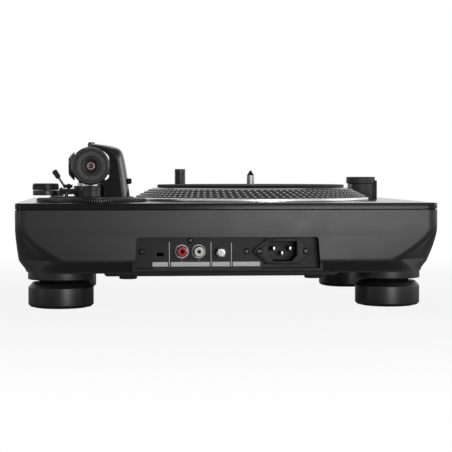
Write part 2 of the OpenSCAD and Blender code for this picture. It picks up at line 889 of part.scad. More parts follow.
// Numbered ring in front of the counterweight
module weight_dial() {
    color("#202123")
        translate([pivot_x, pivot_y + weight_front - rest_gap - dial_t, arm_z])
            difference() {
                rod_y(dial_r, dial_t);
                translate([0, -1, 0])
                    rod_y(rear_r + run_gap, dial_t + 2);
            }
}

// Locking collar of the headshell
module headshell_collar() {
    color("#8f9194")
        translate([pivot_x, pivot_y - tube_end + 2, arm_z])
            difference() {
                rod_y(collar_ring_r, collar_len);
                translate([0, -1, 0])
                    rod_y(tube_r + run_gap, collar_len + 2);
            }
}

// Headshell with its stub and finger lift
module headshell() {
    plate_len = shell_tip - tube_end - 6;
    shell_t = 2.4;
    color("#26272a")
        difference() {
            union() {
                translate([pivot_x, pivot_y - tube_end - 6, arm_z])
                    rod_y(tube_r, 6);
                translate([pivot_x - shell_half_w, pivot_y - shell_tip, arm_z - 3.4])
                    cube([2 * shell_half_w, plate_len, shell_t]);
                translate([pivot_x - tube_r, pivot_y - tube_end - 8, arm_z - 3.4])
                    cube([2 * tube_r, 6, 5]);
                translate([pivot_x + shell_half_w - 1, pivot_y - shell_tip + 2, arm_z - 3.4])
                    cube([12, 5, 1.2]);
            }
            for (sx = [-1, 1])
                translate([pivot_x + sx * 6.35, pivot_y - arm_len - 5, arm_z - 5])
                    linear_extrude(5)
                        square([2.6, 16], center = true);
        }
}

// Cartridge body hung under the headshell
module cartridge() {
    body_h = 9.2;
    color("#1a1a1c")
        translate([pivot_x - 8.2, pivot_y - arm_len - 7, arm_z - 3.4 - body_h])
            cube([16.4, 24, body_h]);
}

// Stylus holder with its cantilever tip
module stylus() {
    holder_z = arm_z - 3.4 - 9.2;
    color("#c8c8cc") {
        translate([pivot_x - 3, pivot_y - arm_len - 6, holder_z - 1.6])
            cube([6, 14, 1.6]);
        translate([pivot_x, pivot_y - arm_len, holder_z - 2.9])
            cylinder(r1 = 0.2, r2 = 0.8, h = 1.5);
    }
}

module anti_skate_dial() {
    color("#2a2b2d")
        translate([skate_x, pivot_y, skate_seat_top])
            rotate_extrude()
                polygon([[0, -2.7], [skate_pin_r, -2.7], [skate_pin_r, rest_gap],
                    [skate_r - 0.6, rest_gap], [skate_r, rest_gap + 0.6],
                    [skate_r, rest_gap + skate_h - 1.3], [skate_r - 0.4, rest_gap + skate_h - 0.4],
                    [skate_r - 1.3, rest_gap + skate_h], [0, rest_gap + skate_h]]);
}

// Cue lever: cross pin, leaning rod and knob
module cue_lever() {
    rod_len = 10.2;
    color("#1c1d1f")
        translate([lever_x, lever_y, lever_z]) {
            translate([-3.4, 0, 0])
                rod_x(lever_pin_r, 6.5);
            translate([3, 0, 0])
                rod_x(lever_hub_r, 2);
            translate([4, 0, 0])
                rotate([0, lever_lean, 0]) {
                    cylinder(r = 0.9, h = rod_len + 1);
                    translate([0, 0, rod_len])
                        cylinder(r = 2.3, h = 8);
                }
        }
}

// Curved lifter under the arm tube, on its piston
module lifter_bar() {
    color("#1f2022") {
        translate([pivot_x, pivot_y, lifter_top - lifter_t])
            rotate([0, 0, -90 - lifter_angle - lifter_spread])
                rotate_extrude(angle = 2 * lifter_spread)
                    translate([lifter_r - lifter_w / 2, 0])
                        square([lifter_w, lifter_t]);
        translate([lifter_x, lifter_y, tier_top + lifter_travel + 1])
            cylinder(r = lifter_pin_r, h = lifter_top - lifter_t / 2 - tier_top - lifter_travel - 1);
    }
}

// Arm rest: flanged post with a shelf under the parked tube
module arm_rest() {
    shelf_z = arm_z - tube_r - rest_gap;
    post_top = clip_z - rest_gap;
    color("#242527")
        difference() {
            union() {
                translate([rest_x, rest_y, deck_z]) {
                    cylinder(r = rest_post_r + 3, h = 2.5);
                    cylinder(r = rest_post_r, h = post_top - deck_z);
                }
                translate([pivot_x - rest_shelf_in, rest_y - rest_shelf_w / 2, shelf_z - rest_shelf_t])
                    cube([rest_x - pivot_x + rest_shelf_in, rest_shelf_w, rest_shelf_t]);
            }
            translate([rest_x, rest_y, post_top - clip_pin_len - 1])
                cylinder(r = clip_pin_r + run_gap, h = clip_pin_len + 2);
        }
}

// Swinging finger that locks the parked arm, open
module rest_clip() {
    color("#1b1c1e") {
        translate([rest_x, rest_y, clip_z - clip_pin_len])
            cylinder(r = clip_pin_r, h = clip_pin_len + clip_t);
        translate([rest_x, rest_y, clip_z])
            cylinder(r = rest_post_r, h = clip_t);
        translate([rest_x - 1.8, rest_y - 15.5, clip_z])
            cube([3.6, 15.5, clip_t]);
    }
}

module pitch_fader() {
    stem_z = plate_z - 6;
    color("#28292b") {
        translate([fader_x, fader_y, stem_z])
            linear_extrude(deck_z + 1 - stem_z)
                square([fader_stem_w, fader_stem_d], center = true);
        translate([fader_x, fader_y, 0])
            rotate([90, 0, 90])
                translate([0, 0, -fader_cap_w / 2])
                    linear_extrude(fader_cap_w)
                        polygon([[-fader_cap_d / 2, deck_z + slot_gap],
                            [fader_cap_d / 2, deck_z + slot_gap],
                            [fader_cap_d / 2 - 1.5, deck_z + fader_cap_h],
                            [1, deck_z + fader_cap_h], [0, deck_z + fader_cap_h - 0.8],
                            [-1, deck_z + fader_cap_h],
                            [1.5 - fader_cap_d / 2, deck_z + fader_cap_h]]);
    }
}

// Fader track under the top plate
module fader_body() {
    track = 2 * fader_travel + fader_stem_d + 2;
    color("#7c7e80")
        difference() {
            translate([fader_x - fader_box_w / 2, fader_y - track / 2 - fader_box_end,
                    plate_z - fader_box_h])
                cube([fader_box_w, track + 2 * fader_box_end, fader_box_h]);
            translate([fader_x - fader_slot_w / 2, fader_y - track / 2, plate_z - fader_box_h + 2])
                cube([fader_slot_w, track, fader_box_h]);
        }
}

// Push button with a skirt through the top plate
module push_button(x, y, w, d) {
    translate([x, y, deck_z + button_proud - button_skirt])
        linear_extrude(button_skirt)
            square([w, d], center = true);
}

module start_button() {
    color("#8c8f92")
        push_button(start_x, start_y, start_size, start_size);
}

module button_33() {
    color("#3a3b3d")
        push_button(speed_x[0], speed_y, speed_w, speed_d);
}

module button_45() {
    color("#3a3b3d")
        push_button(speed_x[1], speed_y, speed_w, speed_d);
}

// Strobe tower with a guard round the outboard half of its cap
module strobe_tower() {
    guard_h = tower_h - 3.6;
    color("#2a2b2d")
        translate([tower_x, tower_y, deck_z])
            difference() {
                union() {
                    cylinder(r = tower_body_r, h = tower_body_top - deck_z);
                    intersection() {
                        cylinder(r = guard_out, h = guard_h);
                        rotate([0, 0, 180])
                            linear_extrude(guard_h)
                                polygon([[0, 0], [2 * guard_out, -1.1 * guard_out],
                                    [2 * guard_out, 1.1 * guard_out]]);
                    }
                }
                translate([0, 0, tower_body_top - deck_z])
                    cylinder(r = tower_r + rest_gap, h = tower_h);
                translate([window_x, -window_w / 2, window_z])
                    cube([tower_r, window_w, tower_h]);
                translate([0, 0, tower_body_top - deck_z - dial_stem_len - 0.5])
                    cylinder(r = dial_stem_r + run_gap, h = dial_stem_len + 1.5);
            }
}

// Clear window of the strobe light, facing the platter's dots
module strobe_window() {
    color("#c9cccf")
        translate([tower_x, tower_y, deck_z])
            intersection() {
                cylinder(r = tower_body_r, h = tower_body_top - deck_z);
                translate([window_x, -window_w / 2, window_z])
                    cube([tower_r, window_w, tower_h]);
            }
}

// Turning cap of the strobe tower, the power switch
module power_dial() {
    color("#222325")
        translate([tower_x, tower_y, tower_body_top + rest_gap])
            difference() {
                union() {
                    rotate_extrude()
                        polygon([[0, 0], [tower_r, 0], [tower_r, tower_cap_h - 0.8],
                            [tower_r - 0.8, tower_cap_h], [0, tower_cap_h]]);
                    translate([0, 0, -dial_stem_len])
                        cylinder(r = dial_stem_r, h = dial_stem_len + 0.5);
                }
                translate([-tower_r - 1, -1.5, tower_cap_h - 2.6])
                    cube([2.6, 3, 4]);
            }
}

// Raised target light on its stem
module target_light() {
    color("#1e1f21")
        translate([light_x, light_y, 0])
            rotate_extrude()
                polygon([[0, deck_z - light_foot], [light_r, deck_z - light_foot],
                    [light_r, deck_z + light_h - 0.6], [light_r - 0.6, deck_z + light_h],
                    [0, deck_z + light_h]]);
}

// Socket tube that the target light sinks into
module light_socket() {
    bore = light_r + run_gap;
    floor_z = deck_z - light_foot - light_travel - 2;
    color("#4b4d50")
        translate([light_x, light_y, 0])
            rotate_extrude()
                polygon([[0, floor_z - 1.5], [bore + light_wall, floor_z - 1.5],
                    [bore + light_wall, plate_z - 2], [bore + light_wall + 3, plate_z - 2],
                    [bore + light_wall + 3, plate_z], [bore + light_wall, plate_z],
                    [bore + light_wall, deck_z + 1], [bore, deck_z + 1], [bore, floor_z],
                    [0, floor_z]]);
}

module connector_panel() {
    color("#202123")
        difference() {
            along_y(panel_y - panel_t, panel_t)
                recess_outline(panel_margin / 2);
            for (sx = [-1, 1])
                translate([rca_x + sx * rca_pitch / 2, panel_y - 3, socket_z])
                    rod_y(rca_r - rca_wall + seat_gap, 4);
            translate([ground_x, panel_y - 3, ground_z])
                rod_y(screw_r + run_gap, 4);
            translate([port_x - 3.7, panel_y - 3, port_z - 2.1])
                cube([7.4, 4, 4.2]);
            translate([inlet_x - 13.8, panel_y - 3, inlet_z - 10])
                cube([27.6, 4, 20]);
            for (p = panel_screws)
                translate([p[0], panel_y - 3, p[1]])
                    rod_y(screw_r + seat_gap, 4);
            for (sx = [-1, 1])
                translate([inlet_x + sx * inlet_screw_x, panel_y - 3, inlet_z])
                    rod_y(screw_r + seat_gap, 4);
        }
}

// Metal shells of the two audio sockets
module rca_shells() {
    color("#d2d4d6")
        for (sx = [-1, 1])
            translate([rca_x + sx * rca_pitch / 2, panel_y, socket_z])
                rotate([-90, 0, 0])
                    rotate_extrude()
                        polygon([[rca_r - rca_wall, 0], [rca_r + rca_flange, 0],
                            [rca_r + rca_flange, rca_flange_t], [rca_r, rca_flange_t],
                            [rca_r, rca_len], [rca_r - rca_wall, rca_len]]);
}

// Coloured insulator of one audio socket, with its contact bore
module rca_insert(sx) {
    translate([rca_x + sx * rca_pitch / 2, panel_y - rca_behind, socket_z])
        difference() {
            rod_y(rca_r - rca_wall - seat_gap, rca_behind + rca_len - rca_inset);
            translate([0, 2, 0])
                rod_y(rca_contact_r, rca_behind + rca_len);
        }
}

module rca_red() {
    color("#b3262b")
        rca_insert(1);
}

module rca_white() {
    color("#e9e9e6")
        rca_insert(-1);
}

// Outline of the mains inlet with a screw ear on each side
module inlet_outline() {
    tip = inlet_screw_x + 5.6;
    square([inlet_body_w, inlet_body_h], center = true);
    for (sx = [-1, 1])
        polygon([[sx * (inlet_body_w / 2 - 1), inlet_body_h / 2 - 1], [sx * (tip - 2.5), 3],
            [sx * tip, 0], [sx * (tip - 2.5), -3],
            [sx * (inlet_body_w / 2 - 1), 1 - inlet_body_h / 2]]);
}

// Outline of the inlet's cavity, with two lower corners cut
module inlet_cavity() {
    w = inlet_hole_w / 2;
    h = inlet_hole_h / 2;
    cut = 4.6;
    polygon([[-w, h], [w, h], [w, cut - h], [w - cut, -h], [cut - w, -h], [-w, cut - h]]);
}

module mains_inlet() {
    color("#18191a")
        difference() {
            union() {
                translate([inlet_x, 0, inlet_z])
                    along_y(panel_y, inlet_flange_t)
                        inlet_outline();
                translate([inlet_x, 0, inlet_z])
                    along_y(panel_y - inlet_depth, inlet_depth)
                        square([27.4, 19.8], center = true);
            }
            translate([inlet_x, 0, inlet_z])
                along_y(panel_y - inlet_depth + 3, inlet_depth + inlet_flange_t)
                    inlet_cavity();
            for (sx = [-1, 1])
                translate([inlet_x + sx * inlet_screw_x, panel_y - 1, inlet_z])
                    rod_y(screw_r + seat_gap, inlet_flange_t + 2);
        }
}

// Three blades of the mains inlet
module inlet_pins() {
    blade = [2, 14, 4];
    color("#c4c6c8")
        for (p = [[-7, 2], [7, 2], [0, -2]])
            translate([inlet_x + p[0] - blade[0] / 2, panel_y - inlet_depth + 3,
                inlet_z + p[1] - blade[2] / 2])
                cube(blade);
}

// Shell of the small service port
module service_port() {
    color("#77797c")
        translate([port_x, 0, port_z])
            along_y(panel_y - 8, 8.2)
                difference() {
                    square([7.3, 4.1], center = true);
                    square([6.3, 3.1], center = true);
                }
}

// Knurled earth terminal
module ground_screw() {
    color("#cfd1d3")
        translate([ground_x, panel_y, ground_z]) {
            translate([0, -8, 0])
                rod_y(screw_r, 9);
            translate([0, rest_gap, 0])
                rod_y(2.8, 2);
            translate([0, rest_gap + 2, 0])
                difference() {
                    rod_y(4.2, 5);
                    translate([-5, 4, -0.4])
                        cube([10, 2, 0.8]);
                }
        }
}

// Four posts that carry one board
module board_posts(at, size) {
    for (sx = [-1, 1], sy = [-1, 1])
        translate([at[0] + sx * (size[0] / 2 - 5), at[1] + sy * (size[1] / 2 - 5), under_z - 1])
            cylinder(r = board_post_r, h = board_post_h + 1, $fn = 24);
}

// Circuit board on its posts
module board(at, size) {
    translate([at[0] - size[0] / 2, at[1] - size[1] / 2, under_z + board_post_h])
        cube([size[0], size[1], board_t]);
}

// Power supply: board, transformer, heat sink and capacitors
module power_board() {
    z = under_z + board_post_h + board_t;
    color("#3f6b45") {
        board(power_board_at, power_board_size);
        translate([power_board_at[0] - 22, power_board_at[1] - 22, z - 0.1])
            cube([26, 30, 22]);
        translate([power_board_at[0] + 12, power_board_at[1] - 25, z - 0.1])
            cube([4, 36, 18]);
        for (y = [-14, 4])
            translate([power_board_at[0] + 24, power_board_at[1] + y, z - 0.1])
                cylinder(r = 5, h = 16);
    }
}

// Motor control board with its chips
module main_board() {
    z = under_z + board_post_h + board_t;
    color("#2f6a4a") {
        board(main_board_at, main_board_size);
        for (p = [[-18, -30], [14, -24], [-6, 12], [22, 26]])
            translate([main_board_at[0] + p[0] - 6, main_board_at[1] + p[1] - 6, z - 0.1])
                cube([12, 12, 2.4]);
        translate([main_board_at[0] + 28, main_board_at[1] - 46, z - 0.1])
            cube([10, 16, 9]);
    }
}

top_plate();
base_shell();
bottom_cover();
cover_pads();
case_screws();
foot(corners[0]);  // foot_rear_right
foot(corners[1]);  // foot_rear_left
foot(corners[2]);  // foot_front_right
foot(corners[3]);  // foot_front_left
sole(corners[0]);  // sole_rear_right
sole(corners[1]);  // sole_rear_left
sole(corners[2]);  // sole_front_right
sole(corners[3]);  // sole_front_left
motor_base();
motor_stator();
bearing_bushes();
platter();
rotor_magnet();
spindle();
slipmat();
arm_socket();
vta_ring();
arm_base();
arm_arch();
arch_screws();
gimbal_ring();
gimbal_cap();
arm_tube();
rear_shaft();
counterweight();
weight_dial();
headshell_collar();
headshell();
cartridge();
stylus();
anti_skate_dial();
cue_lever();
lifter_bar();
arm_rest();
rest_clip();
pitch_fader();
fader_body();
start_button();
button_33();
button_45();
strobe_tower();
strobe_window();
power_dial();
target_light();
light_socket();
connector_panel();
rca_shells();
rca_red();
rca_white();
mains_inlet();
inlet_pins();
service_port();
ground_screw();
power_board();
main_board();
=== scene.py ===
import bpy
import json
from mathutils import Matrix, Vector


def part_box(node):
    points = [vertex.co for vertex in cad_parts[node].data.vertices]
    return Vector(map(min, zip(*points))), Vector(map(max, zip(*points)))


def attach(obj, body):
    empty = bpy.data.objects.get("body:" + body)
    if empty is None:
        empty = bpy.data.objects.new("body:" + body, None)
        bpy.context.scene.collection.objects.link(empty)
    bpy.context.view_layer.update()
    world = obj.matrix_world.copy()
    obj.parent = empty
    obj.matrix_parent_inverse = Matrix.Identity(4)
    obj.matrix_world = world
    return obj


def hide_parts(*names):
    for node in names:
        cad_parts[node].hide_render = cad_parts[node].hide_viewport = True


bl_info = {
    "name": "Record Player Dressing",
    "version": (1, 0, 0),
    "blender": (4, 5, 0),
    "location": "View3D > Sidebar > Record Player",
    "description": "Builds the visible pieces of a direct-drive record player round its packed frame",
    "category": "Object",
}

import json
import math
import bmesh
import bpy
from mathutils import Matrix, Vector

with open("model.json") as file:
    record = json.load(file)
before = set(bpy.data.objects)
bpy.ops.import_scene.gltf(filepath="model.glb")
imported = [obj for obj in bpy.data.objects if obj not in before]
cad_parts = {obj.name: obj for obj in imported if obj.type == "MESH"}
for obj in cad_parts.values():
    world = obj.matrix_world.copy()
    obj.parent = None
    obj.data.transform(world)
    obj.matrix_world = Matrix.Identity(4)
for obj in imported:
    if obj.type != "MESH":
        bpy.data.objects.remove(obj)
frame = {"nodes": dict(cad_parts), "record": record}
NODES = frame["nodes"]
BODY_OF = {n: b for b, ns in frame["record"]["behaviour"]["bodies"].items() for n in ns}
SLOT_OF = {s["node"]: s["material_slot"] for s in frame["record"]["subparts"]}
MM = 0.001
TAU = 2 * math.pi
QUARTER = math.pi / 2
CORNERS = ((1, 1), (-1, 1), (-1, -1), (1, -1))
FEET = ("rear_right", "rear_left", "front_right", "front_left")


def low(node):
    """Lowest corner of a frame node, in millimetres."""
    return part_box(node)[0] / MM


def high(node):
    """Highest corner of a frame node, in millimetres."""
    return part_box(node)[1] / MM


def middle(node):
    """Centre of a frame node's box, in millimetres."""
    return (low(node) + high(node)) / 2


def floor_under(node):
    """Point on the floor under the middle of a frame node, in millimetres."""
    return (middle(node).x, middle(node).y, 0)


SHELL_LOW, SHELL_HIGH = low("base_shell"), high("base_shell")
PLATE_LOW, PLATE_HIGH = low("top_plate"), high("top_plate")
PIVOT = Vector((middle("vta_ring").x, middle("vta_ring").y, middle("counterweight").z))
PLATTER_AXIS, ARM_AXIS = floor_under("platter"), floor_under("vta_ring")
PANEL_FACE = high("connector_panel").y
# underside of the shell, and the lower edge of the connector recess
UNDER = low("bottom_cover").z + 2.7
BASE = UNDER + 4.3
# place of the cue lever's pin, which lies along X
CUE_Y, CUE_Z = PIVOT.y - 13, PLATE_HIGH.z + 13.55


# ---------------------------------------------------------------- sizes and colours

RGB = dict(size=3, min=0, max=1)


class ChassisLook(bpy.types.PropertyGroup):
    """Form of the moulded chassis and its plate."""
    corner_radius: bpy.props.FloatProperty(
        name="Corner radius", description="Radius of the upright corners, in millimetres",
        default=10.0, min=6.0, max=16.0)
    facet_width: bpy.props.FloatProperty(
        name="Facet width", description="Cut of the corner facet at its widest, in millimetres",
        default=34.0, min=26.0, max=38.0)
    facet_hollow: bpy.props.FloatProperty(
        name="Facet hollow", description="How far the facet dips inwards, in millimetres",
        default=2.4, min=0.0, max=3.0)
    crease_softness: bpy.props.FloatProperty(
        name="Crease softness", description="Radius along the facet's creases, in millimetres",
        default=22.0, min=4.0, max=26.0)
    plate_edge: bpy.props.FloatProperty(
        name="Plate edge", description="Rounding of the top plate's edge, in millimetres",
        default=1.4, min=0.2, max=1.5)
    recess_edge: bpy.props.FloatProperty(
        name="Recess edge", description="Rounding round the connector recess, in millimetres",
        default=0.6, min=0.2, max=1.2)
    shell_colour: bpy.props.FloatVectorProperty(
        name="Shell colour", description="Colour of the moulded shell", subtype="COLOR",
        default=(0.0125, 0.0125, 0.013), **RGB)
    plate_colour: bpy.props.FloatVectorProperty(
        name="Plate colour", description="Colour of the painted top plate", subtype="COLOR",
        default=(0.012, 0.012, 0.0125), **RGB)


class PlatterLook(bpy.types.PropertyGroup):
    """Platter, its dots and the mat."""
    dot_count: bpy.props.IntProperty(
        name="Dots in a row", description="Raised dots in each row round the platter",
        default=104, min=60, max=200)
    dot_rows: bpy.props.IntProperty(
        name="Rows", description="Rows of dots on the slope", default=4, min=1, max=5)
    dot_size: bpy.props.FloatProperty(
        name="Dot size", description="Radius of one dot, in millimetres", default=1.6, min=0.5, max=2.2)
    dot_height: bpy.props.FloatProperty(
        name="Dot height", description="How far a dot stands proud, in millimetres",
        default=0.75, min=0.2, max=1.0)
    mat_colour: bpy.props.FloatVectorProperty(
        name="Mat colour", description="Colour of the felt mat", subtype="COLOR",
        default=(0.022, 0.022, 0.023), **RGB)


class ArmLook(bpy.types.PropertyGroup):
    """Tonearm, its base and its dials."""
    ring_ribs: bpy.props.IntProperty(
        name="Ring ribs", description="Grip ribs round the height ring", default=150, min=90, max=300)
    dial_ribs: bpy.props.IntProperty(
        name="Dial ribs", description="Grip ribs round the anti-skate dial", default=72, min=24, max=120)
    arch_round: bpy.props.FloatProperty(
        name="Arch rounding", description="Width of the arch's sloping flank, in millimetres",
        default=6.8, min=1.0, max=9.0)
    tube_colour: bpy.props.FloatVectorProperty(
        name="Tube colour", description="Colour of the silver tube", subtype="COLOR",
        default=(0.5, 0.5, 0.51), **RGB)


class StageLook(bpy.types.PropertyGroup):
    """Floor, lamps and camera."""
    key_power: bpy.props.FloatProperty(
        name="Key power", description="Power of the large soft lamp", default=3.9, min=0, unit="POWER")
    fill_power: bpy.props.FloatProperty(
        name="Fill power", description="Power of the weak lamp opposite", default=0.55, min=0, unit="POWER")
    side_power: bpy.props.FloatProperty(
        name="Side power", description="Power of the lamp beside the player", default=2.0, min=0,
        unit="POWER")
    top_power: bpy.props.FloatProperty(
        name="Top power", description="Power of the lamp overhead", default=6.0, min=0, unit="POWER")
    ambient: bpy.props.FloatProperty(
        name="Ambient", description="Even light from the whole room", default=0.16, min=0, max=1)
    lens: bpy.props.FloatProperty(
        name="Lens", description="Focal length on a 36 mm sensor", default=114.83, min=20,
        subtype="DISTANCE_CAMERA")
    floor_colour: bpy.props.FloatVectorProperty(
        name="Floor colour", description="Colour of the floor", subtype="COLOR",
        default=(0.6, 0.6, 0.6), **RGB)


# ---------------------------------------------------------------- nodes

def new_node(tree, kind, inputs=None, **settings):
    """New node with its settings and inputs; an input takes a value or another node's output."""
    made = tree.nodes.new(kind)
    for key, value in settings.items():
        setattr(made, key, value)
    for key, value in (inputs or {}).items():
        if isinstance(value, bpy.types.NodeSocket):
            tree.links.new(value, made.inputs[key])
        else:
            made.inputs[key].default_value = value
    return made


def reckoned(tree, way, a, b=None):
    """Result of one step of arithmetic on values or outputs."""
    inputs = {0: a} if b is None else {0: a, 1: b}
    return new_node(tree, "ShaderNodeMath", inputs, operation=way).outputs[0]


def ranged(tree, value, source, target=(0.0, 1.0), way="LINEAR"):
    """Value carried from one range to another."""
    inputs = {"Value": value, "From Min": source[0], "From Max": source[1],
              "To Min": target[0], "To Max": target[1]}
    return new_node(tree, "ShaderNodeMapRange", inputs, interpolation_type=way).outputs["Result"]


def cleared(owner):
    """Empty node tree of a material or world."""
    owner.use_nodes = True
    owner.node_tree.nodes.clear()
    return owner.node_tree


# ---------------------------------------------------------------- finishes

# how far roughness strays, the part of a noise's range that counts, and what some kinds have besides
PATCHY = 0.04
SWING = (0.3, 0.7)
EXTRAS = {"felt": {"Sheen Weight": 0.25, "Sheen Roughness": 0.6}, "glass": {"Transmission Weight": 0.35}}


def finish_of(slot, colour, rough, metal=0.0, spec=0.5, grain=900, bump=0.02, tint=0.1,
              kind="moulded", centre=(0, 0, 0)):
    """Material of a slot: base colour with fine tint, uneven roughness and relief by kind of finish."""
    tree = cleared(bpy.data.materials.get(slot) or bpy.data.materials.new(slot))
    place = new_node(tree, "ShaderNodeTexCoord").outputs["Object"]
    turn = new_node(tree, "ShaderNodeMapping", {"Vector": place, "Location": [-c * MM for c in centre]})
    source = turn.outputs["Vector"]

    def noise(scale, detail, stretch=None):
        at = source
        if stretch:
            at = new_node(tree, "ShaderNodeMapping", {"Vector": at, "Scale": stretch}).outputs["Vector"]
        inputs = {"Vector": at, "Scale": scale, "Detail": detail}
        return new_node(tree, "ShaderNodeTexNoise", inputs).outputs["Fac"]

    broad = noise(260 if kind == "felt" else 34, 4)
    tones = [[min(1, c * (1 + way * tint)) for c in colour] + [1] for way in (-1, 1)]
    inputs = {"Factor": ranged(tree, broad, SWING), "A": tones[0], "B": tones[1]}
    blend = new_node(tree, "ShaderNodeMix", inputs, data_type="RGBA")
    if kind == "turned":
        inputs = {"Vector": source, "Scale": grain, "Distortion": 0.4}
        rings = new_node(tree, "ShaderNodeTexWave", inputs, wave_type="RINGS", rings_direction="Z")
        fine = rings.outputs["Fac"]
    else:
        stretch = (1.0, 0.03, 1.0) if kind == "brushed" else None
        fine = noise(grain, 8 if kind == "felt" else 2, stretch)
    uneven = noise(grain if kind == "brushed" else 60, 3)
    limits = (max(0.02, rough * (1 - PATCHY)), min(1, rough * (1 + PATCHY)))
    lift = new_node(tree, "ShaderNodeBump", {"Strength": 0.6, "Distance": bump * MM, "Height": fine})
    inputs = {"Base Color": blend.outputs["Result"], "Metallic": metal, "Specular IOR Level": spec,
              "Roughness": ranged(tree, uneven, SWING, limits), "Normal": lift.outputs["Normal"]}
    shader = new_node(tree, "ShaderNodeBsdfPrincipled", inputs | EXTRAS.get(kind, {}))
    new_node(tree, "ShaderNodeOutputMaterial", {"Surface": shader.outputs["BSDF"]})


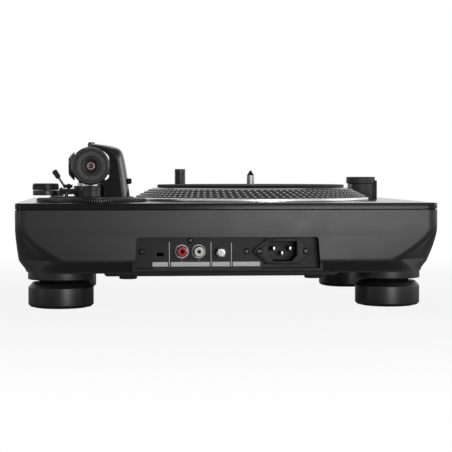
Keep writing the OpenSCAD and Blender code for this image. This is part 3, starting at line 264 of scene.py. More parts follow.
def make_finishes(scene):
    """All finishes by slot, then those that no slot names; each frame node wears its own."""
    body, platter, arm = scene.chassis_look, scene.platter_look, scene.arm_look
    rows = [
        ("plate_black", body.plate_colour, 0.22, dict(spec=0.14, grain=1400, bump=0.002)),
        ("shell_black", body.shell_colour, 0.42, dict(grain=1100)),
        ("cover_black", (0.008, 0.008, 0.0085), 0.55, dict(spec=0.3)),
        ("pad_rubber", (0.014, 0.014, 0.014), 0.8, dict(spec=0.25, grain=700, bump=0.03)),
        ("screw_black", (0.02, 0.02, 0.021), 0.32, dict(metal=0.6, grain=600, bump=0.006)),
        ("foot_black", (0.009, 0.009, 0.0095), 0.38, dict(grain=800, bump=0.012)),
        ("sole_rubber", (0.012, 0.012, 0.012), 0.85, dict(spec=0.2, grain=500, bump=0.05)),
        ("cast_alloy", (0.35, 0.36, 0.37), 0.5, dict(metal=0.9, grain=500, bump=0.04)),
        ("stator_copper", (0.55, 0.27, 0.14), 0.38, dict(metal=1.0, bump=0.05)),
        ("bearing_bronze", (0.42, 0.3, 0.16), 0.45, dict(metal=1.0)),
        ("platter_alloy", (0.16, 0.16, 0.162), 0.15,
         dict(metal=1.0, kind="turned", bump=0.001, centre=PLATTER_AXIS)),
        ("ferrite", (0.05, 0.05, 0.055), 0.6, dict(grain=700, bump=0.04)),
        ("spindle_steel", (0.36, 0.36, 0.37), 0.36, dict(metal=1.0, bump=0.002)),
        ("mat_felt", platter.mat_colour, 0.95,
         dict(spec=0.15, kind="felt", grain=2600, bump=0.12, tint=0.3)),
        ("ring_black", (0.05, 0.05, 0.052), 0.38, dict(metal=0.35, bump=0.006)),
        ("arm_black", (0.009, 0.009, 0.0095), 0.36, dict(grain=1200, bump=0.004)),
        ("tube_silver", arm.tube_colour, 0.24, dict(metal=1.0, kind="brushed", bump=0.003)),
        ("shaft_copper", (0.17, 0.128, 0.12), 0.3, dict(metal=1.0, bump=0.004)),
        ("weight_grey", (0.03, 0.03, 0.0315), 0.42, dict(metal=0.15, grain=1300, bump=0.012)),
        ("dial_black", (0.01, 0.01, 0.0105), 0.42, dict(spec=0.4, grain=1000, bump=0.01)),
        ("headshell_black", (0.014, 0.014, 0.015), 0.36, dict(spec=0.45, grain=1200, bump=0.006)),
        ("cartridge_black", (0.012, 0.012, 0.013), 0.22, dict(grain=700, bump=0.003)),
        ("stylus_silver", (0.55, 0.55, 0.57), 0.28, dict(metal=0.9, grain=700, bump=0.002)),
        ("lever_black", (0.011, 0.011, 0.0115), 0.3, dict(bump=0.004)),
        ("knob_black", (0.011, 0.011, 0.0115), 0.42, dict(spec=0.45, bump=0.01)),
        ("track_steel", (0.4, 0.4, 0.41), 0.4, dict(metal=1.0, kind="brushed", bump=0.006)),
        ("button_silver", (0.5, 0.5, 0.51), 0.34, dict(metal=0.9, kind="brushed", bump=0.006)),
        ("button_grey", (0.04, 0.041, 0.044), 0.42, dict(spec=0.4, grain=1000, bump=0.008)),
        ("tower_black", (0.028, 0.028, 0.0285), 0.6, dict(spec=0.6, grain=1000, bump=0.006)),
        ("window_clear", (0.42, 0.43, 0.44), 0.3, dict(kind="glass", grain=600, bump=0.004, tint=0.04)),
        ("light_black", (0.01, 0.01, 0.0105), 0.3, dict(bump=0.003)),
        ("socket_plastic", (0.07, 0.07, 0.075), 0.6, dict(bump=0.03)),
        ("panel_black", (0.012, 0.012, 0.0125), 0.5, dict(spec=0.25, grain=1500, bump=0.012)),
        ("shell_chrome", (0.4, 0.4, 0.41), 0.24, dict(metal=1.0, grain=700, bump=0.001, tint=0.04)),
        ("plastic_red", (0.55, 0.04, 0.045), 0.45, dict(spec=0.2, grain=700, bump=0.004, tint=0.06)),
        ("plastic_white", (0.85, 0.85, 0.83), 0.45, dict(spec=0.2, grain=700, bump=0.004, tint=0.03)),
        ("inlet_black", (0.009, 0.009, 0.0095), 0.44, dict(spec=0.22, grain=1000, bump=0.008)),
        ("pin_steel", (0.35, 0.35, 0.36), 0.2, dict(metal=1.0, grain=700, bump=0.002)),
        ("board_green", (0.02, 0.1, 0.045), 0.4, dict(grain=500, bump=0.03)),
        # dark slope of the platter; on the arch's rear face it is painted shade
        ("slope_dark_and_painted_arch_shade", (0.006, 0.006, 0.006), 0.55, dict(spec=0.15, bump=0.006)),
        ("flange_bright", (0.85, 0.85, 0.86), 0.34, dict(metal=1.0, bump=0.001)),
        ("dot_alloy", (0.28, 0.28, 0.284), 0.2, dict(metal=1.0, bump=0.002)),
        ("plate_top", body.plate_colour, 0.15, dict(spec=0.45, grain=1400, bump=0.001)),
        ("nut_steel", (0.18, 0.18, 0.183), 0.27, dict(metal=1.0, bump=0.002)),
        # glossy finish of the arch; against the matt rear face its flank works as painted sheen
        ("arch_black", (0.004, 0.004, 0.0043), 0.16, dict(spec=0.9, grain=1200, bump=0.003)),
        # a lighter, more metallic copy of the ring's finish for its ribs: painted sheen
        ("rib_painted_sheen", (0.1, 0.1, 0.102), 0.42, dict(metal=0.8, bump=0.004)),
        ("collar_silver", (0.5, 0.5, 0.51), 0.28, dict(metal=1.0, kind="turned", bump=0.003, centre=PIVOT)),
        # dark tip of the record pin; on the sockets' sleeves it is painted shade in the holes
        ("tip_dark_and_hole_shade", (0.05, 0.05, 0.052), 0.4, dict(metal=1.0, bump=0.003)),
        ("lever_steel", (0.3, 0.3, 0.31), 0.25, dict(metal=1.0, bump=0.003)),
        ("print_pale", (0.75, 0.75, 0.75), 0.6, dict(spec=0.3, grain=1500, bump=0.004, tint=0.05)),
        # painted shade: near-black for seams, gaps and the wall between ribs, where shade falls
        ("painted_gap_shade", (0.004, 0.004, 0.004), 0.8, dict(spec=0.1, grain=700, bump=0.01)),
    ]
    for slot, colour, rough, extra in rows:
        finish_of(slot, colour, rough, **extra)
    for name, obj in NODES.items():
        wearing(obj.data, SLOT_OF[name])


# ---------------------------------------------------------------- mesh helpers

def piece(name, mesh, *nodes, slot=None, body=None, bend=30):
    """Puts a finished mesh in the scene: rides on its body, wears its slot's finish if it has none, hides the
    nodes it stands for.
    """
    mesh.name = name
    obj = bpy.data.objects.new(name, mesh)
    bpy.context.scene.collection.objects.link(obj)
    slot = slot or SLOT_OF[nodes[0]]
    if not mesh.materials:
        mesh.materials.append(bpy.data.materials[slot])
    for face in mesh.polygons:
        face.use_smooth = True
    mesh.set_sharp_from_angle(angle=math.radians(bend))
    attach(obj, body or BODY_OF[nodes[0]])
    if nodes:
        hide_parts(*nodes)
    return obj


def mesh_of(bm):
    """Plain mesh of a bmesh in metres."""
    mesh = bpy.data.meshes.new("part")
    bm.to_mesh(mesh)
    bm.free()
    return mesh


def mesh_from(bm):
    """Plain mesh of a bmesh in millimetres, turned into metres, faces outwards."""
    bmesh.ops.remove_doubles(bm, verts=bm.verts, dist=1e-4)
    bmesh.ops.recalc_face_normals(bm, faces=bm.faces)
    mesh = mesh_of(bm)
    mesh.transform(Matrix.Scale(MM, 4))
    return mesh


def joined(*meshes):
    """One mesh of several, each keeping its own finish."""
    bm = bmesh.new()
    mats = []
    for mesh in meshes:
        start = len(bm.faces)
        bm.from_mesh(mesh)
        bm.faces.ensure_lookup_table()
        for face in bm.faces[start:]:
            mat = mesh.materials[face.material_index] if mesh.materials else None
            if mat not in mats:
                mats.append(mat)
            face.material_index = mats.index(mat)
    whole = mesh_of(bm)
    for mat in mats:
        whole.materials.append(mat)
    return whole


def wearing(mesh, *finishes, choose=None):
    """The mesh in its finishes; choose gives a face's number in them from its centre (mm) and normal."""
    mesh.materials.clear()
    for finish in finishes:
        mesh.materials.append(bpy.data.materials[finish])
    if choose:
        for face in mesh.polygons:
            face.material_index = int(choose(face.center / MM, face.normal))
    return mesh


def reach(at, axis):
    """Distance of a point from an upright axis."""
    return math.hypot(at.x - axis[0], at.y - axis[1])


def on_bench(data):
    """Object in the scene that carries data while it is worked on."""
    obj = bpy.data.objects.new("bench", data)
    bpy.context.scene.collection.objects.link(obj)
    return obj


def taken(obj):
    """Plain mesh of a bench object after its modifiers; the object goes."""
    bpy.context.view_layer.update()
    mesh = bpy.data.meshes.new_from_object(obj.evaluated_get(bpy.context.evaluated_depsgraph_get()))
    bpy.data.objects.remove(obj)
    return mesh


def settled(mesh, kind, **settings):
    """The mesh after a modifier."""
    obj = on_bench(mesh)
    step = obj.modifiers.new(kind.title(), kind)
    for key, value in settings.items():
        setattr(step, key, value)
    return taken(obj)


def eased(mesh, width, segments=3, angle=40):
    """The mesh with its sharp edges rounded."""
    return settled(mesh, "BEVEL", width=width * MM, segments=segments, limit_method="ANGLE",
                   angle_limit=math.radians(angle), miter_outer="MITER_ARC")


def carved(mesh, *cutters, way="DIFFERENCE"):
    """The mesh after cutting or joining other closed meshes."""
    for cutter in cutters:
        tool = on_bench(cutter)
        mesh = settled(mesh, "BOOLEAN", operation=way, solver="EXACT", object=tool)
        bpy.data.objects.remove(tool)
    return mesh


def copy_of(node):
    """Copy of a frame node's mesh, merged, with flat areas made whole."""
    bm = bmesh.new()
    bm.from_mesh(NODES[node].data)
    bmesh.ops.remove_doubles(bm, verts=bm.verts, dist=2e-6)
    bmesh.ops.dissolve_limit(bm, angle_limit=math.radians(1.0), verts=bm.verts, edges=bm.edges)
    return mesh_of(bm)


def dressed(node, width, segments=3):
    """A frame node's own shape with rounded edges, standing for that node."""
    piece(node + "_skin", eased(copy_of(node), width, segments), node)


def bend_point(a, corner, b, t):
    """Point at t on the bend from a to b round a corner."""
    return a * (1 - t) ** 2 + corner * 2 * t * (1 - t) + b * t ** 2


def rounded(outline, closed=True, steps=5):
    """Points of an outline whose corners (a, b, radius) are rounded."""
    points = []
    count = len(outline)
    for i, corner in enumerate(outline):
        here = Vector(corner[:2])
        radius = corner[2] if len(corner) > 2 else 0
        if radius <= 0 or (not closed and i in (0, count - 1)):
            points.append(here)
            continue
        before = Vector(outline[i - 1][:2]) - here
        after = Vector(outline[(i + 1) % count][:2]) - here
        span = min(radius / math.tan(before.angle(after) / 2), 0.49 * before.length, 0.49 * after.length)
        a, b = here + before.normalized() * span, here + after.normalized() * span
        points += [bend_point(a, here, b, k / steps) for k in range(steps + 1)]
    return points


def lathe(outline, centre=(0, 0, 0), axis="Z", turns=96, steps=5):
    """Mesh turned from an outline of (radius, height, rounding) in millimetres.

    An outline that starts at radius 0 ends there too; any other closes on itself."""
    closed = outline[0][0] > 0
    bm = bmesh.new()
    rings = []
    for radius, height in rounded(outline, closed, steps):
        spots = [(radius * math.cos(TAU * k / turns), radius * math.sin(TAU * k / turns), height)
                 for k in range(turns)] if radius > 1e-5 else [(0, 0, height)]
        rings.append([bm.verts.new(spot) for spot in spots])
    for a, b in zip(rings, rings[1:] + (rings[:1] if closed else [])):
        for k in range(turns):
            n = (k + 1) % turns
            if len(a) == 1:
                bm.faces.new((a[0], b[n], b[k]))
            elif len(b) == 1:
                bm.faces.new((a[k], a[n], b[0]))
            else:
                bm.faces.new((a[k], a[n], b[n], b[k]))
    turned = {"Z": Matrix.Identity(4), "Y": Matrix.Rotation(-QUARTER, 4, "X"),
              "X": Matrix.Rotation(QUARTER, 4, "Y")}[axis]
    bm.transform(Matrix.Translation(centre) @ turned)
    return mesh_from(bm)


def lofted(rings):
    """Closed mesh through rings of equal count, in millimetres."""
    bm = bmesh.new()
    rows = [[bm.verts.new(p) for p in ring] for ring in rings]
    count = len(rows[0])
    for a, b in zip(rows, rows[1:]):
        for k in range(count):
            n = (k + 1) % count
            bm.faces.new((a[k], a[n], b[n], b[k]))
    bm.faces.new(rows[0])
    bm.faces.new(rows[-1])
    return mesh_from(bm)


def block(low_corner, high_corner):
    """Closed box between two corners, in millimetres."""
    bm = bmesh.new()
    bmesh.ops.create_cube(bm, size=1)
    a, b = Vector(low_corner), Vector(high_corner)
    for vert in bm.verts:
        vert.co = Vector((a[i] + (vert.co[i] + 0.5) * (b[i] - a[i]) for i in range(3)))
    return mesh_from(bm)


def plank(outline, low_y, high_y):
    """Outline in X and Z with rounded corners, as thick as from low_y to high_y."""
    return lofted([[(x, y, z) for x, z in rounded(outline)] for y in (low_y, high_y)])


def slab(outline, low_z, high_z):
    """Outline in X and Y with rounded corners, as thick as from low_z to high_z."""
    return lofted([[(x, y, z) for x, y in rounded(outline, steps=6)] for z in (low_z, high_z)])


# ---------------------------------------------------------------- repeated shapes

def tree_of(name, *inputs):
    """New tree of Geometry Nodes with its named inputs, and their sockets."""
    tree = bpy.data.node_groups.new(name, "GeometryNodeTree")
    tree.interface.new_socket("Geometry", in_out="OUTPUT", socket_type="NodeSocketGeometry")
    for label, kind in (("Geometry", "Geometry"), ("Shape", "Object"), ("Finish", "Material")) + inputs:
        tree.interface.new_socket(label, in_out="INPUT", socket_type="NodeSocket" + kind)
    return tree, tree.nodes.new("NodeGroupInput").outputs


def copies_on(tree, entry, points, rotation, **more):
    """The input shape copied on points."""
    shape = new_node(tree, "GeometryNodeObjectInfo", {"Object": entry["Shape"]})
    inputs = {"Points": points, "Instance": shape.outputs["Geometry"], "Rotation": rotation}
    return new_node(tree, "GeometryNodeInstanceOnPoints", inputs | more).outputs[0]


def end_of_tree(tree, entry, geometry):
    """Realize the instances, set the material and hand the mesh out."""
    real = new_node(tree, "GeometryNodeRealizeInstances", {0: geometry}).outputs[0]
    paint = new_node(tree, "GeometryNodeSetMaterial", {"Geometry": real, "Material": entry["Finish"]})
    new_node(tree, "NodeGroupOutput", {0: paint.outputs[0]})
    return tree


def ring_tree():
    """Geometry Nodes: copies of a shape in staggered rows round an axis."""
    name = "ringed_copies"
    if name in bpy.data.node_groups:
        return bpy.data.node_groups[name]
    tree, entry = tree_of(name, ("Count", "Int"), ("Rows", "Int"), ("Radius", "Float"),
                          ("Radius Step", "Float"), ("Height", "Float"), ("Height Step", "Float"),
                          ("Lean", "Float"), ("Row Shift", "Float"), ("Turn", "Vector"), ("Centre", "Vector"))

    def sum_of(way, a, b=None):
        return reckoned(tree, way, a, b)

    index = new_node(tree, "GeometryNodeInputIndex").outputs[0]
    row = sum_of("FLOOR", sum_of("DIVIDE", sum_of("ADD", index, 0.5), entry["Count"]))
    shifted = sum_of("ADD", index, sum_of("MULTIPLY", row, entry["Row Shift"]))
    angle = sum_of("MULTIPLY", sum_of("DIVIDE", shifted, entry["Count"]), TAU)
    radius = sum_of("ADD", entry["Radius"], sum_of("MULTIPLY", row, entry["Radius Step"]))
    height = sum_of("ADD", entry["Height"], sum_of("MULTIPLY", row, entry["Height Step"]))
    x, y = (sum_of("MULTIPLY", radius, sum_of(way, angle)) for way in ("COSINE", "SINE"))
    place = new_node(tree, "ShaderNodeCombineXYZ", {0: x, 1: y, 2: height}).outputs[0]
    total = sum_of("MULTIPLY", entry["Count"], entry["Rows"])
    spots = new_node(tree, "GeometryNodePoints", {"Count": total, "Position": place})
    facing = new_node(tree, "ShaderNodeCombineXYZ", {1: entry["Lean"], 2: angle})
    turn, whole = (new_node(tree, "FunctionNodeEulerToRotation", {0: source}).outputs[0]
                   for source in (facing.outputs[0], entry["Turn"]))
    copies = copies_on(tree, entry, spots.outputs[0], turn)
    inputs = {"Geometry": copies, "Rotation": whole, "Translation": entry["Centre"]}
    return end_of_tree(tree, entry, new_node(tree, "GeometryNodeTransform", inputs).outputs[0])


def spot_tree():
    """Geometry Nodes: copies of a shape at marked spots, each along its own aim."""
    name = "aimed_copies"
    if name in bpy.data.node_groups:
        return bpy.data.node_groups[name]
    tree, entry = tree_of(name, ("Scale", "Float"))
    aim = new_node(tree, "GeometryNodeInputNamedAttribute", {"Name": "aim"}, data_type="FLOAT_VECTOR")
    face = new_node(tree, "FunctionNodeAlignRotationToVector", {"Vector": aim.outputs[0]}, axis="Z")
    copies = copies_on(tree, entry, entry["Geometry"], face.outputs[0], Scale=entry["Scale"])
    return end_of_tree(tree, entry, copies)


def grown(tree, shape, finish, carrier=None, **values):
    """Plain mesh from a tree of copies of one shape."""
    template, bench = on_bench(shape), on_bench(carrier or bpy.data.meshes.new("carrier"))
    step = bench.modifiers.new("Copies", "NODES")
    step.node_group = tree
    sockets = {s.name: s.identifier for s in tree.interface.items_tree if s.in_out == "INPUT"}
    step[sockets["Shape"]] = template
    step[sockets["Finish"]] = bpy.data.materials[finish]
    for label, value in values.items():
        step[sockets[label.replace("_", " ")]] = value
    mesh = taken(bench)
    bpy.data.objects.remove(template)
    if not mesh.polygons:
        raise RuntimeError("the tree of copies gave nothing")
    return mesh


# turn that lays the axis of a ring of copies along X or Y
TURN_OF = {"X": (0, QUARTER, 0), "Y": (-QUARTER, 0, 0), "Z": (0, 0, 0)}


def ringed(shape, finish, centre, count, radius, height=0.0, axis="Z", rows=1, radius_step=0.0,
           height_step=0.0, lean=0.0, row_shift=0.5):
    """Copies of a shape round a centre; sizes in millimetres."""
    return grown(ring_tree(), shape, finish, Count=count, Rows=rows, Radius=radius * MM,
                 Radius_Step=radius_step * MM, Height=height * MM, Height_Step=height_step * MM, Lean=lean,
                 Row_Shift=row_shift, Turn=TURN_OF[axis], Centre=[c * MM for c in centre])


def spotted(shape, finish, places, aim, scale=1.0):
    """Copies of a shape at places, all along one aim; sizes in millimetres."""
    carrier = bpy.data.meshes.new("carrier")
    carrier.from_pydata([Vector(p) * MM for p in places], [], [])
    for value in carrier.attributes.new("aim", "FLOAT_VECTOR", "POINT").data:
        value.vector = aim
    return grown(spot_tree(), shape, finish, carrier=carrier, Scale=scale)


def screw_head(rise):
    """Pan head with a cross recess, standing on the origin."""
    radius, arm, start = 2.6, 1.45, -0.4
    head = lathe([(0, start), (radius, start), (radius, rise * 0.45, rise * 0.3),
                  (radius * 0.62, rise, rise * 0.5), (0, rise)], turns=32, steps=4)
    half = arm * 0.17
    for a, b in ((arm, half), (half, arm)):
        head = carved(head, block((-a, -b, rise * 0.35), (a, b, rise + 1)))
    return head


def bar(width, depth, height, base=0.0):
    """Small bar: from the origin outwards along X."""
    return block((-depth, -width / 2, base), (0, width / 2, base + height))


def rib(width, depth, height, edge, base=0.0):
    """Grip rib: a bar with softened edges."""
    return eased(bar(width, depth, height, base), edge, 1, 60)


# ---------------------------------------------------------------- chassis

# cut of a 45 degree facet that just touches a round of radius 1
ROUND_CUT = 0.5858


def corner_ring(half_x, half_y, cut, fillet, z, hollow=0.0, steps=7, facet=6):
    """Ring of a box whose corners are cut and softened, at height z."""
    ring = []
    for sx, sy in CORNERS:
        ends = [Vector((sx * half_x, sy * (half_y - cut))), Vector((sx * (half_x - cut), sy * half_y))]
        walls = [Vector((0, -sy)), Vector((-sx, 0))]
        if sx * sy < 0:
            ends.reverse()
            walls.reverse()
        along = (ends[1] - ends[0]).normalized()
        span = min(fillet * math.tan(math.radians(22.5)), (ends[1] - ends[0]).length * 0.499)
        for side, end in enumerate(ends):
            away = end + walls[side] * span
            toward = end + (-along if side else along) * span
            arc = [bend_point(away, end, toward, 1 - k / steps if side else k / steps)
                   for k in range(steps + 1)]
            if side:
                ring += [ring[-1].lerp(arc[0], k / facet) for k in range(1, facet)]
            ring += arc
    count = len(ring) // 4
    out = []
    for i, p in enumerate(ring):
        share = (i % count - steps / 2) / (count - 1 - steps)
        dip = hollow * math.sin(math.pi * min(1, max(0, share))) ** 2
        inward = -Vector((math.copysign(1, p.x), math.copysign(1, p.y))).normalized()
        q = p + inward * dip
        out.append((q.x, q.y, z))
    return out


def shell_rings(look, inset, bottom, top):
    """Sections of the moulded shell from its underside to its rim."""
    half_x, half_y = SHELL_HIGH.x - inset, SHELL_HIGH.y - inset
    # where the undercut ends, and where the facet has narrowed to the upright corner
    face, scoop = UNDER + 10.0, UNDER + 37.4
    start = face + 0.8
    square = ROUND_CUT * look.corner_radius
    foot_round = 36.5
    # (height, inset in x, inset in y) up the undercut
    heights = [(UNDER, 7.2, 8.0), (UNDER + 0.7, 7.1, 7.9), (face - 8.0, 6.4, 7.2), (face - 6.4, 5.3, 6.0),
               (face - 4.6, 3.9, 4.4), (face - 2.8, 2.6, 2.7), (face - 1.4, 1.7, 1.5),
               (face - 0.3, 1.15, 0.8), (start, 0.8, 0.42)]
    if bottom > UNDER:
        heights = [(bottom, 5.9, 6.7)] + [row for row in heights if row[0] > bottom]
    rows = []
    # towards the underside the corner turns from a facet into a round about the foot
    for z, in_x, in_y in heights:
        t = min(1, max(0, (z - UNDER - 1.5) / (face - UNDER - 0.7)))
        t = t * t * (3 - 2 * t)
        cut = look.facet_width + 1.22 + look.facet_hollow * (1 - t) - in_x - in_y
        soft = foot_round + (look.crease_softness - foot_round) * t
        rows.append((z, in_x, in_y, cut, soft, look.facet_hollow * 0.7 * t))
    steps = 14
    for k in range(1, steps + 1):
        t = k / steps
        z = start + (scoop - start) * t
        cut = square + (look.facet_width - square) * (1 - t) ** 1.5
        soft = look.crease_softness + (look.corner_radius - look.crease_softness) * t
        dip = look.facet_hollow * math.sin(math.pi * (0.25 + 0.75 * t))
        rows.append((z, 0.8 * (1 - t), 0.4 * (1 - t), cut, soft, dip))
    for z in (scoop + 0.45 * (top - scoop), top):
        rows.append((z, 0, 0, square, look.corner_radius, 0))
    return [corner_ring(half_x - in_x, half_y - in_y, max(1.0, cut - ROUND_CUT * inset),
                        max(1.0, soft - inset * 0.5), z, max(0, dip))
            for z, in_x, in_y, cut, soft, dip in rows]


def recess(grow, y0, y1):
    """Block of the connector recess, grown all round; it is wider at its foot by the splay."""
    centre, half, top, splay = 1.0, 77.0, UNDER + 30.9, 1.9
    low_half = half + splay + grow
    return plank([(centre - low_half, BASE - grow, 1.2), (centre + low_half, BASE - grow, 1.2),
                  (centre + half + grow, top + grow, 3.0), (centre - half - grow, top + grow, 3.0)], y0, y1)


def shell_mesh(look):
    """Moulded shell: hollow, with the recess's tub, a lip under the plate and a pillar over each foot."""
    wall, tub_wall, bore, pillar, pillar_height = 3.0, 2.2, 4.05, 28.3, 8.5
    rim, lip_y = PLATE_LOW.z - 0.8, SHELL_HIGH.y - 1.2
    shell = carved(lofted(shell_rings(look, 0, UNDER, rim)),
                   lofted(shell_rings(look, wall, UNDER + wall, rim + 2)))

    def frame_slab(inset, radius, z0, z1):
        half_x, half_y = SHELL_HIGH.x - inset, SHELL_HIGH.y - inset
        return slab([(sx * half_x, sy * half_y, radius) for sx, sy in CORNERS], z0, z1)

    tub = recess(tub_wall, PANEL_FACE, lip_y)
    lip = carved(frame_slab(1.5, 9, rim - 2, PLATE_LOW.z), frame_slab(3, 8, rim - 3, PLATE_LOW.z + 1))
    shell = carved(shell, tub, lip, way="UNION")
    # the recess, and the window that the bottom cover closes
    a, b, side, end = low("bottom_cover"), high("bottom_cover"), 9, 21
    holes = [recess(0, PANEL_FACE - 1, SHELL_HIGH.y + 2),
             block((a.x + side, a.y + end, UNDER - 1), (b.x - side, b.y - end, UNDER + wall + 1))]
    pillars = []
    z = SHELL_LOW.z
    for corner in FEET:
        spot = floor_under("foot_" + corner)
        top, inside = z + pillar_height, pillar - wall
        pillars.append(lathe([(bore, z), (pillar, z, 0.8), (pillar, top), (bore, top)], spot))
        holes.append(lathe([(8, z + wall), (inside, z + wall), (inside, z + 20), (8, z + 20)], spot))
        holes.append(lathe([(0, z - 1), (bore, z - 1), (bore, z + 26), (0, z + 26)], spot, turns=48))
    shell = eased(carved(carved(shell, *pillars, way="UNION"), *holes), look.recess_edge, 2, 50)

    def finish(at, normal):
        on_lip = abs(at.y - lip_y) < 0.2 and normal.y > 0.7 and abs(at.x) < 90
        # faces above the rim, seen through the seam under the plate, wear painted shade
        return 2 if at.z > rim + 0.1 else on_lip

    return wearing(shell, "shell_black", "cover_black", "painted_gap_shade", choose=finish)


def plate_mesh(look):
    """Top plate whose outer upper edge is rounded and whose other edges are just broken."""
    corner, slack = 10, 0.3

    def on_rim(vert):
        at = vert.co / MM
        past_x, past_y = abs(at.x) - SHELL_HIGH.x, abs(at.y) - SHELL_HIGH.y
        outside = max(past_x, past_y) > -slack or min(past_x, past_y) > -corner
        return outside and abs(at.z - PLATE_HIGH.z) < 0.01

    bm = bmesh.new()
    bm.from_mesh(copy_of("top_plate"))
    edges = [edge for edge in bm.edges if all(on_rim(v) for v in edge.verts)]
    bmesh.ops.bevel(bm, geom=edges, offset=look.plate_edge * MM, segments=4, profile=0.5, affect="EDGES",
                    clamp_overlap=True)
    plate = eased(mesh_of(bm), 0.15, 2, 50)
    return wearing(plate, "plate_black", "plate_top", choose=lambda at, normal: normal.z > 0.99)


class RECORD_OT_chassis(bpy.types.Operator):
    """Moulded shell, top plate, bottom cover with its pads"""
    bl_idname = "record.chassis"
    bl_label = "Chassis"

    def execute(self, context):
        look = context.scene.chassis_look
        piece("shell_body", shell_mesh(look), "base_shell", bend=20)
        piece("plate", plate_mesh(look), "top_plate", bend=18)
        dressed("bottom_cover", 0.5, 2)
        r = 7.6
        pad = lathe([(0, 0), (r, 0), (r, -1.9, 0.2), (r - 0.7, -2.5, 0.8), (0, -2.5)], turns=48)
        a, b = low("cover_pads"), high("cover_pads")
        spots = [(x, y, b.z) for x in (a.x + r, b.x - r) for y in (a.y + r, b.y - r)]
        piece("pads", spotted(pad, "pad_rubber", spots, (0, 0, 1)), "cover_pads")
        return {"FINISHED"}


class RECORD_OT_feet(bpy.types.Operator):
    """Four levelling feet with rubber soles"""
    bl_idname = "record.feet"
    bl_label = "Feet"

    def execute(self, context):
        for corner in FEET:
            centre = floor_under("foot_" + corner)
            top = high("foot_" + corner).z
            body = lathe([(0, 2.05), (23.4, 2.05), (23.52, 0.85), (26.2, 0.8, 0.3), (28.1, 2.6, 0.9),
                          (28.1, 17.4, 0.9), (24.4, 21.6, 0.5), (18.6, 21.8, 0.3), (18.6, 24.25, 0.2),
                          (4, 24.25), (4, top - 1, 0.3), (3, top, 0.3), (0, top)], centre, turns=160)
            # the neck above the foot's shoulder is nearly black: painted shade in the gap under the shell
            wearing(body, "foot_black", "painted_gap_shade", choose=lambda at, normal: at.z > 21.85)
            piece("levelling_foot_" + corner, body, "foot_" + corner)
            sole = lathe([(0, 0), (14, 0, 0.3), (14.4, 0.5, 0.2), (15.6, 0.5, 0.2), (16, 0, 0.3),
                          (22.9, 0, 0.5), (23.5, 0.7, 0.3), (23.5, 2.0), (0, 2.0)], centre)
            piece("rubber_sole_" + corner, sole, "sole_" + corner)
        return {"FINISHED"}


# ---------------------------------------------------------------- platter

class RECORD_OT_platter(bpy.types.Operator):
    """Platter with its raised dots, mat and record pin"""
    bl_idname = "record.platter"
    bl_label = "Platter"

    def execute(self, context):
        look = context.scene.platter_look
        centre = PLATTER_AXIS
        z0, top = low("platter").z, high("platter").z
        # the slope runs from its foot up to its crown
        foot_r, foot_z, crown_r, crown_z = 109.4, z0 + 1.9, 93.6, top - 0.9
        body = lathe([(5.1, top - 8.3), (14, top - 8.3, 0.5), (14, top - 4.5, 1.5), (87.8, top - 4.5, 2),
                      (104.5, z0 + 1.2, 0.5), (104.5, z0 - 0.45, 0.2), (111.5, z0 - 0.45, 0.3),
                      (111.5, z0 + 1.5, 0.4), (foot_r, foot_z, 0.3), (crown_r, crown_z, 0.3),
                      (92.2, top, 0.6), (5.1, top)], centre, turns=256)
        run, rise = foot_r - crown_r, crown_z - foot_z
        rows = look.dot_rows
        # shares of the slope at which the first and second row stand
        first, spread = 0.13, 0.70
        second = first + spread / max(1, rows - 1)
        r, h = look.dot_size, look.dot_height
        dot = lathe([(0, h), (r * 0.45, h * 0.9), (r * 0.78, h * 0.6), (r, 0), (r, -0.2), (0, -0.2)],
                    turns=12)
        dot.transform(Matrix.Rotation(QUARTER, 4, "Y"))
        dots = ringed(dot, "dot_alloy", centre, look.dot_count, foot_r - run * first,
                      foot_z + rise * first, rows=rows, radius_step=-run * (second - first),
                      height_step=rise * (second - first), lean=-math.atan2(run, rise), row_shift=-0.28)

        def finish(at, normal):
            out = reach(at, centre)
            return 2 if out > 109.6 else out > 94.4 and normal.z > 0.3

        wearing(body, "platter_alloy", "slope_dark_and_painted_arch_shade", "flange_bright", choose=finish)
        piece("platter_body", joined(body, dots), "platter")
        z, mat = low("slipmat").z, high("slipmat").z
        felt = lathe([(3.9, z), (88.5, z, 0.3), (88.5, mat, 0.9), (84.6, mat, 0.3), (84.2, mat - 0.35, 0.2),
                      (83.6, mat - 0.35, 0.2), (83.2, mat, 0.3), (50.4, mat, 0.2), (50.1, mat - 0.25, 0.1),
                      (49.7, mat - 0.25, 0.1), (49.4, mat, 0.2), (3.9, mat, 0.2)], centre, turns=200)
        piece("felt_mat", felt, "slipmat")
        z, tip, seat = low("spindle").z, high("spindle").z, PLATE_LOW.z + 3
        pin = lathe([(0, z), (4, z, 0.5), (5, z + 1, 0.5), (5, seat), (9, seat), (9, top - 8.3),
                     (5, top - 8.3), (5, top - 0.1), (3.8, top - 0.1), (3.8, mat, 0.2), (3.6, mat + 0.1),
                     (3.6, tip - 4.6, 0.3), (3.2, tip - 4.2, 0.2), (0.6, tip, 0.4), (0, tip)],
                    centre, turns=64)
        wearing(pin, "spindle_steel", "tip_dark_and_hole_shade", choose=lambda at, normal: at.z > tip - 4.4)
        piece("record_pin", pin, "spindle")
        return {"FINISHED"}


# ---------------------------------------------------------------- arm base and arm

def curve(a, b, c, d, t):
    """Point at t on the curve from a to d with handles b and c."""
    a, b, c, d = (Vector(p) for p in (a, b, c, d))
    return a * (1 - t) ** 3 + b * 3 * t * (1 - t) ** 2 + c * 3 * t * t * (1 - t) + d * t ** 3


def resampled(points, count):
    """Points evenly spaced along a path."""
    lengths = [0.0]
    for a, b in zip(points, points[1:]):
        lengths.append(lengths[-1] + (b - a).length)
    out = []
    for k in range(count):
        goal = lengths[-1] * k / (count - 1)
        i = max(j for j, v in enumerate(lengths[:-1]) if v <= goal + 1e-9)
        span = lengths[i + 1] - lengths[i]
        out.append(points[i].lerp(points[i + 1], (goal - lengths[i]) / span if span else 0))
    return out


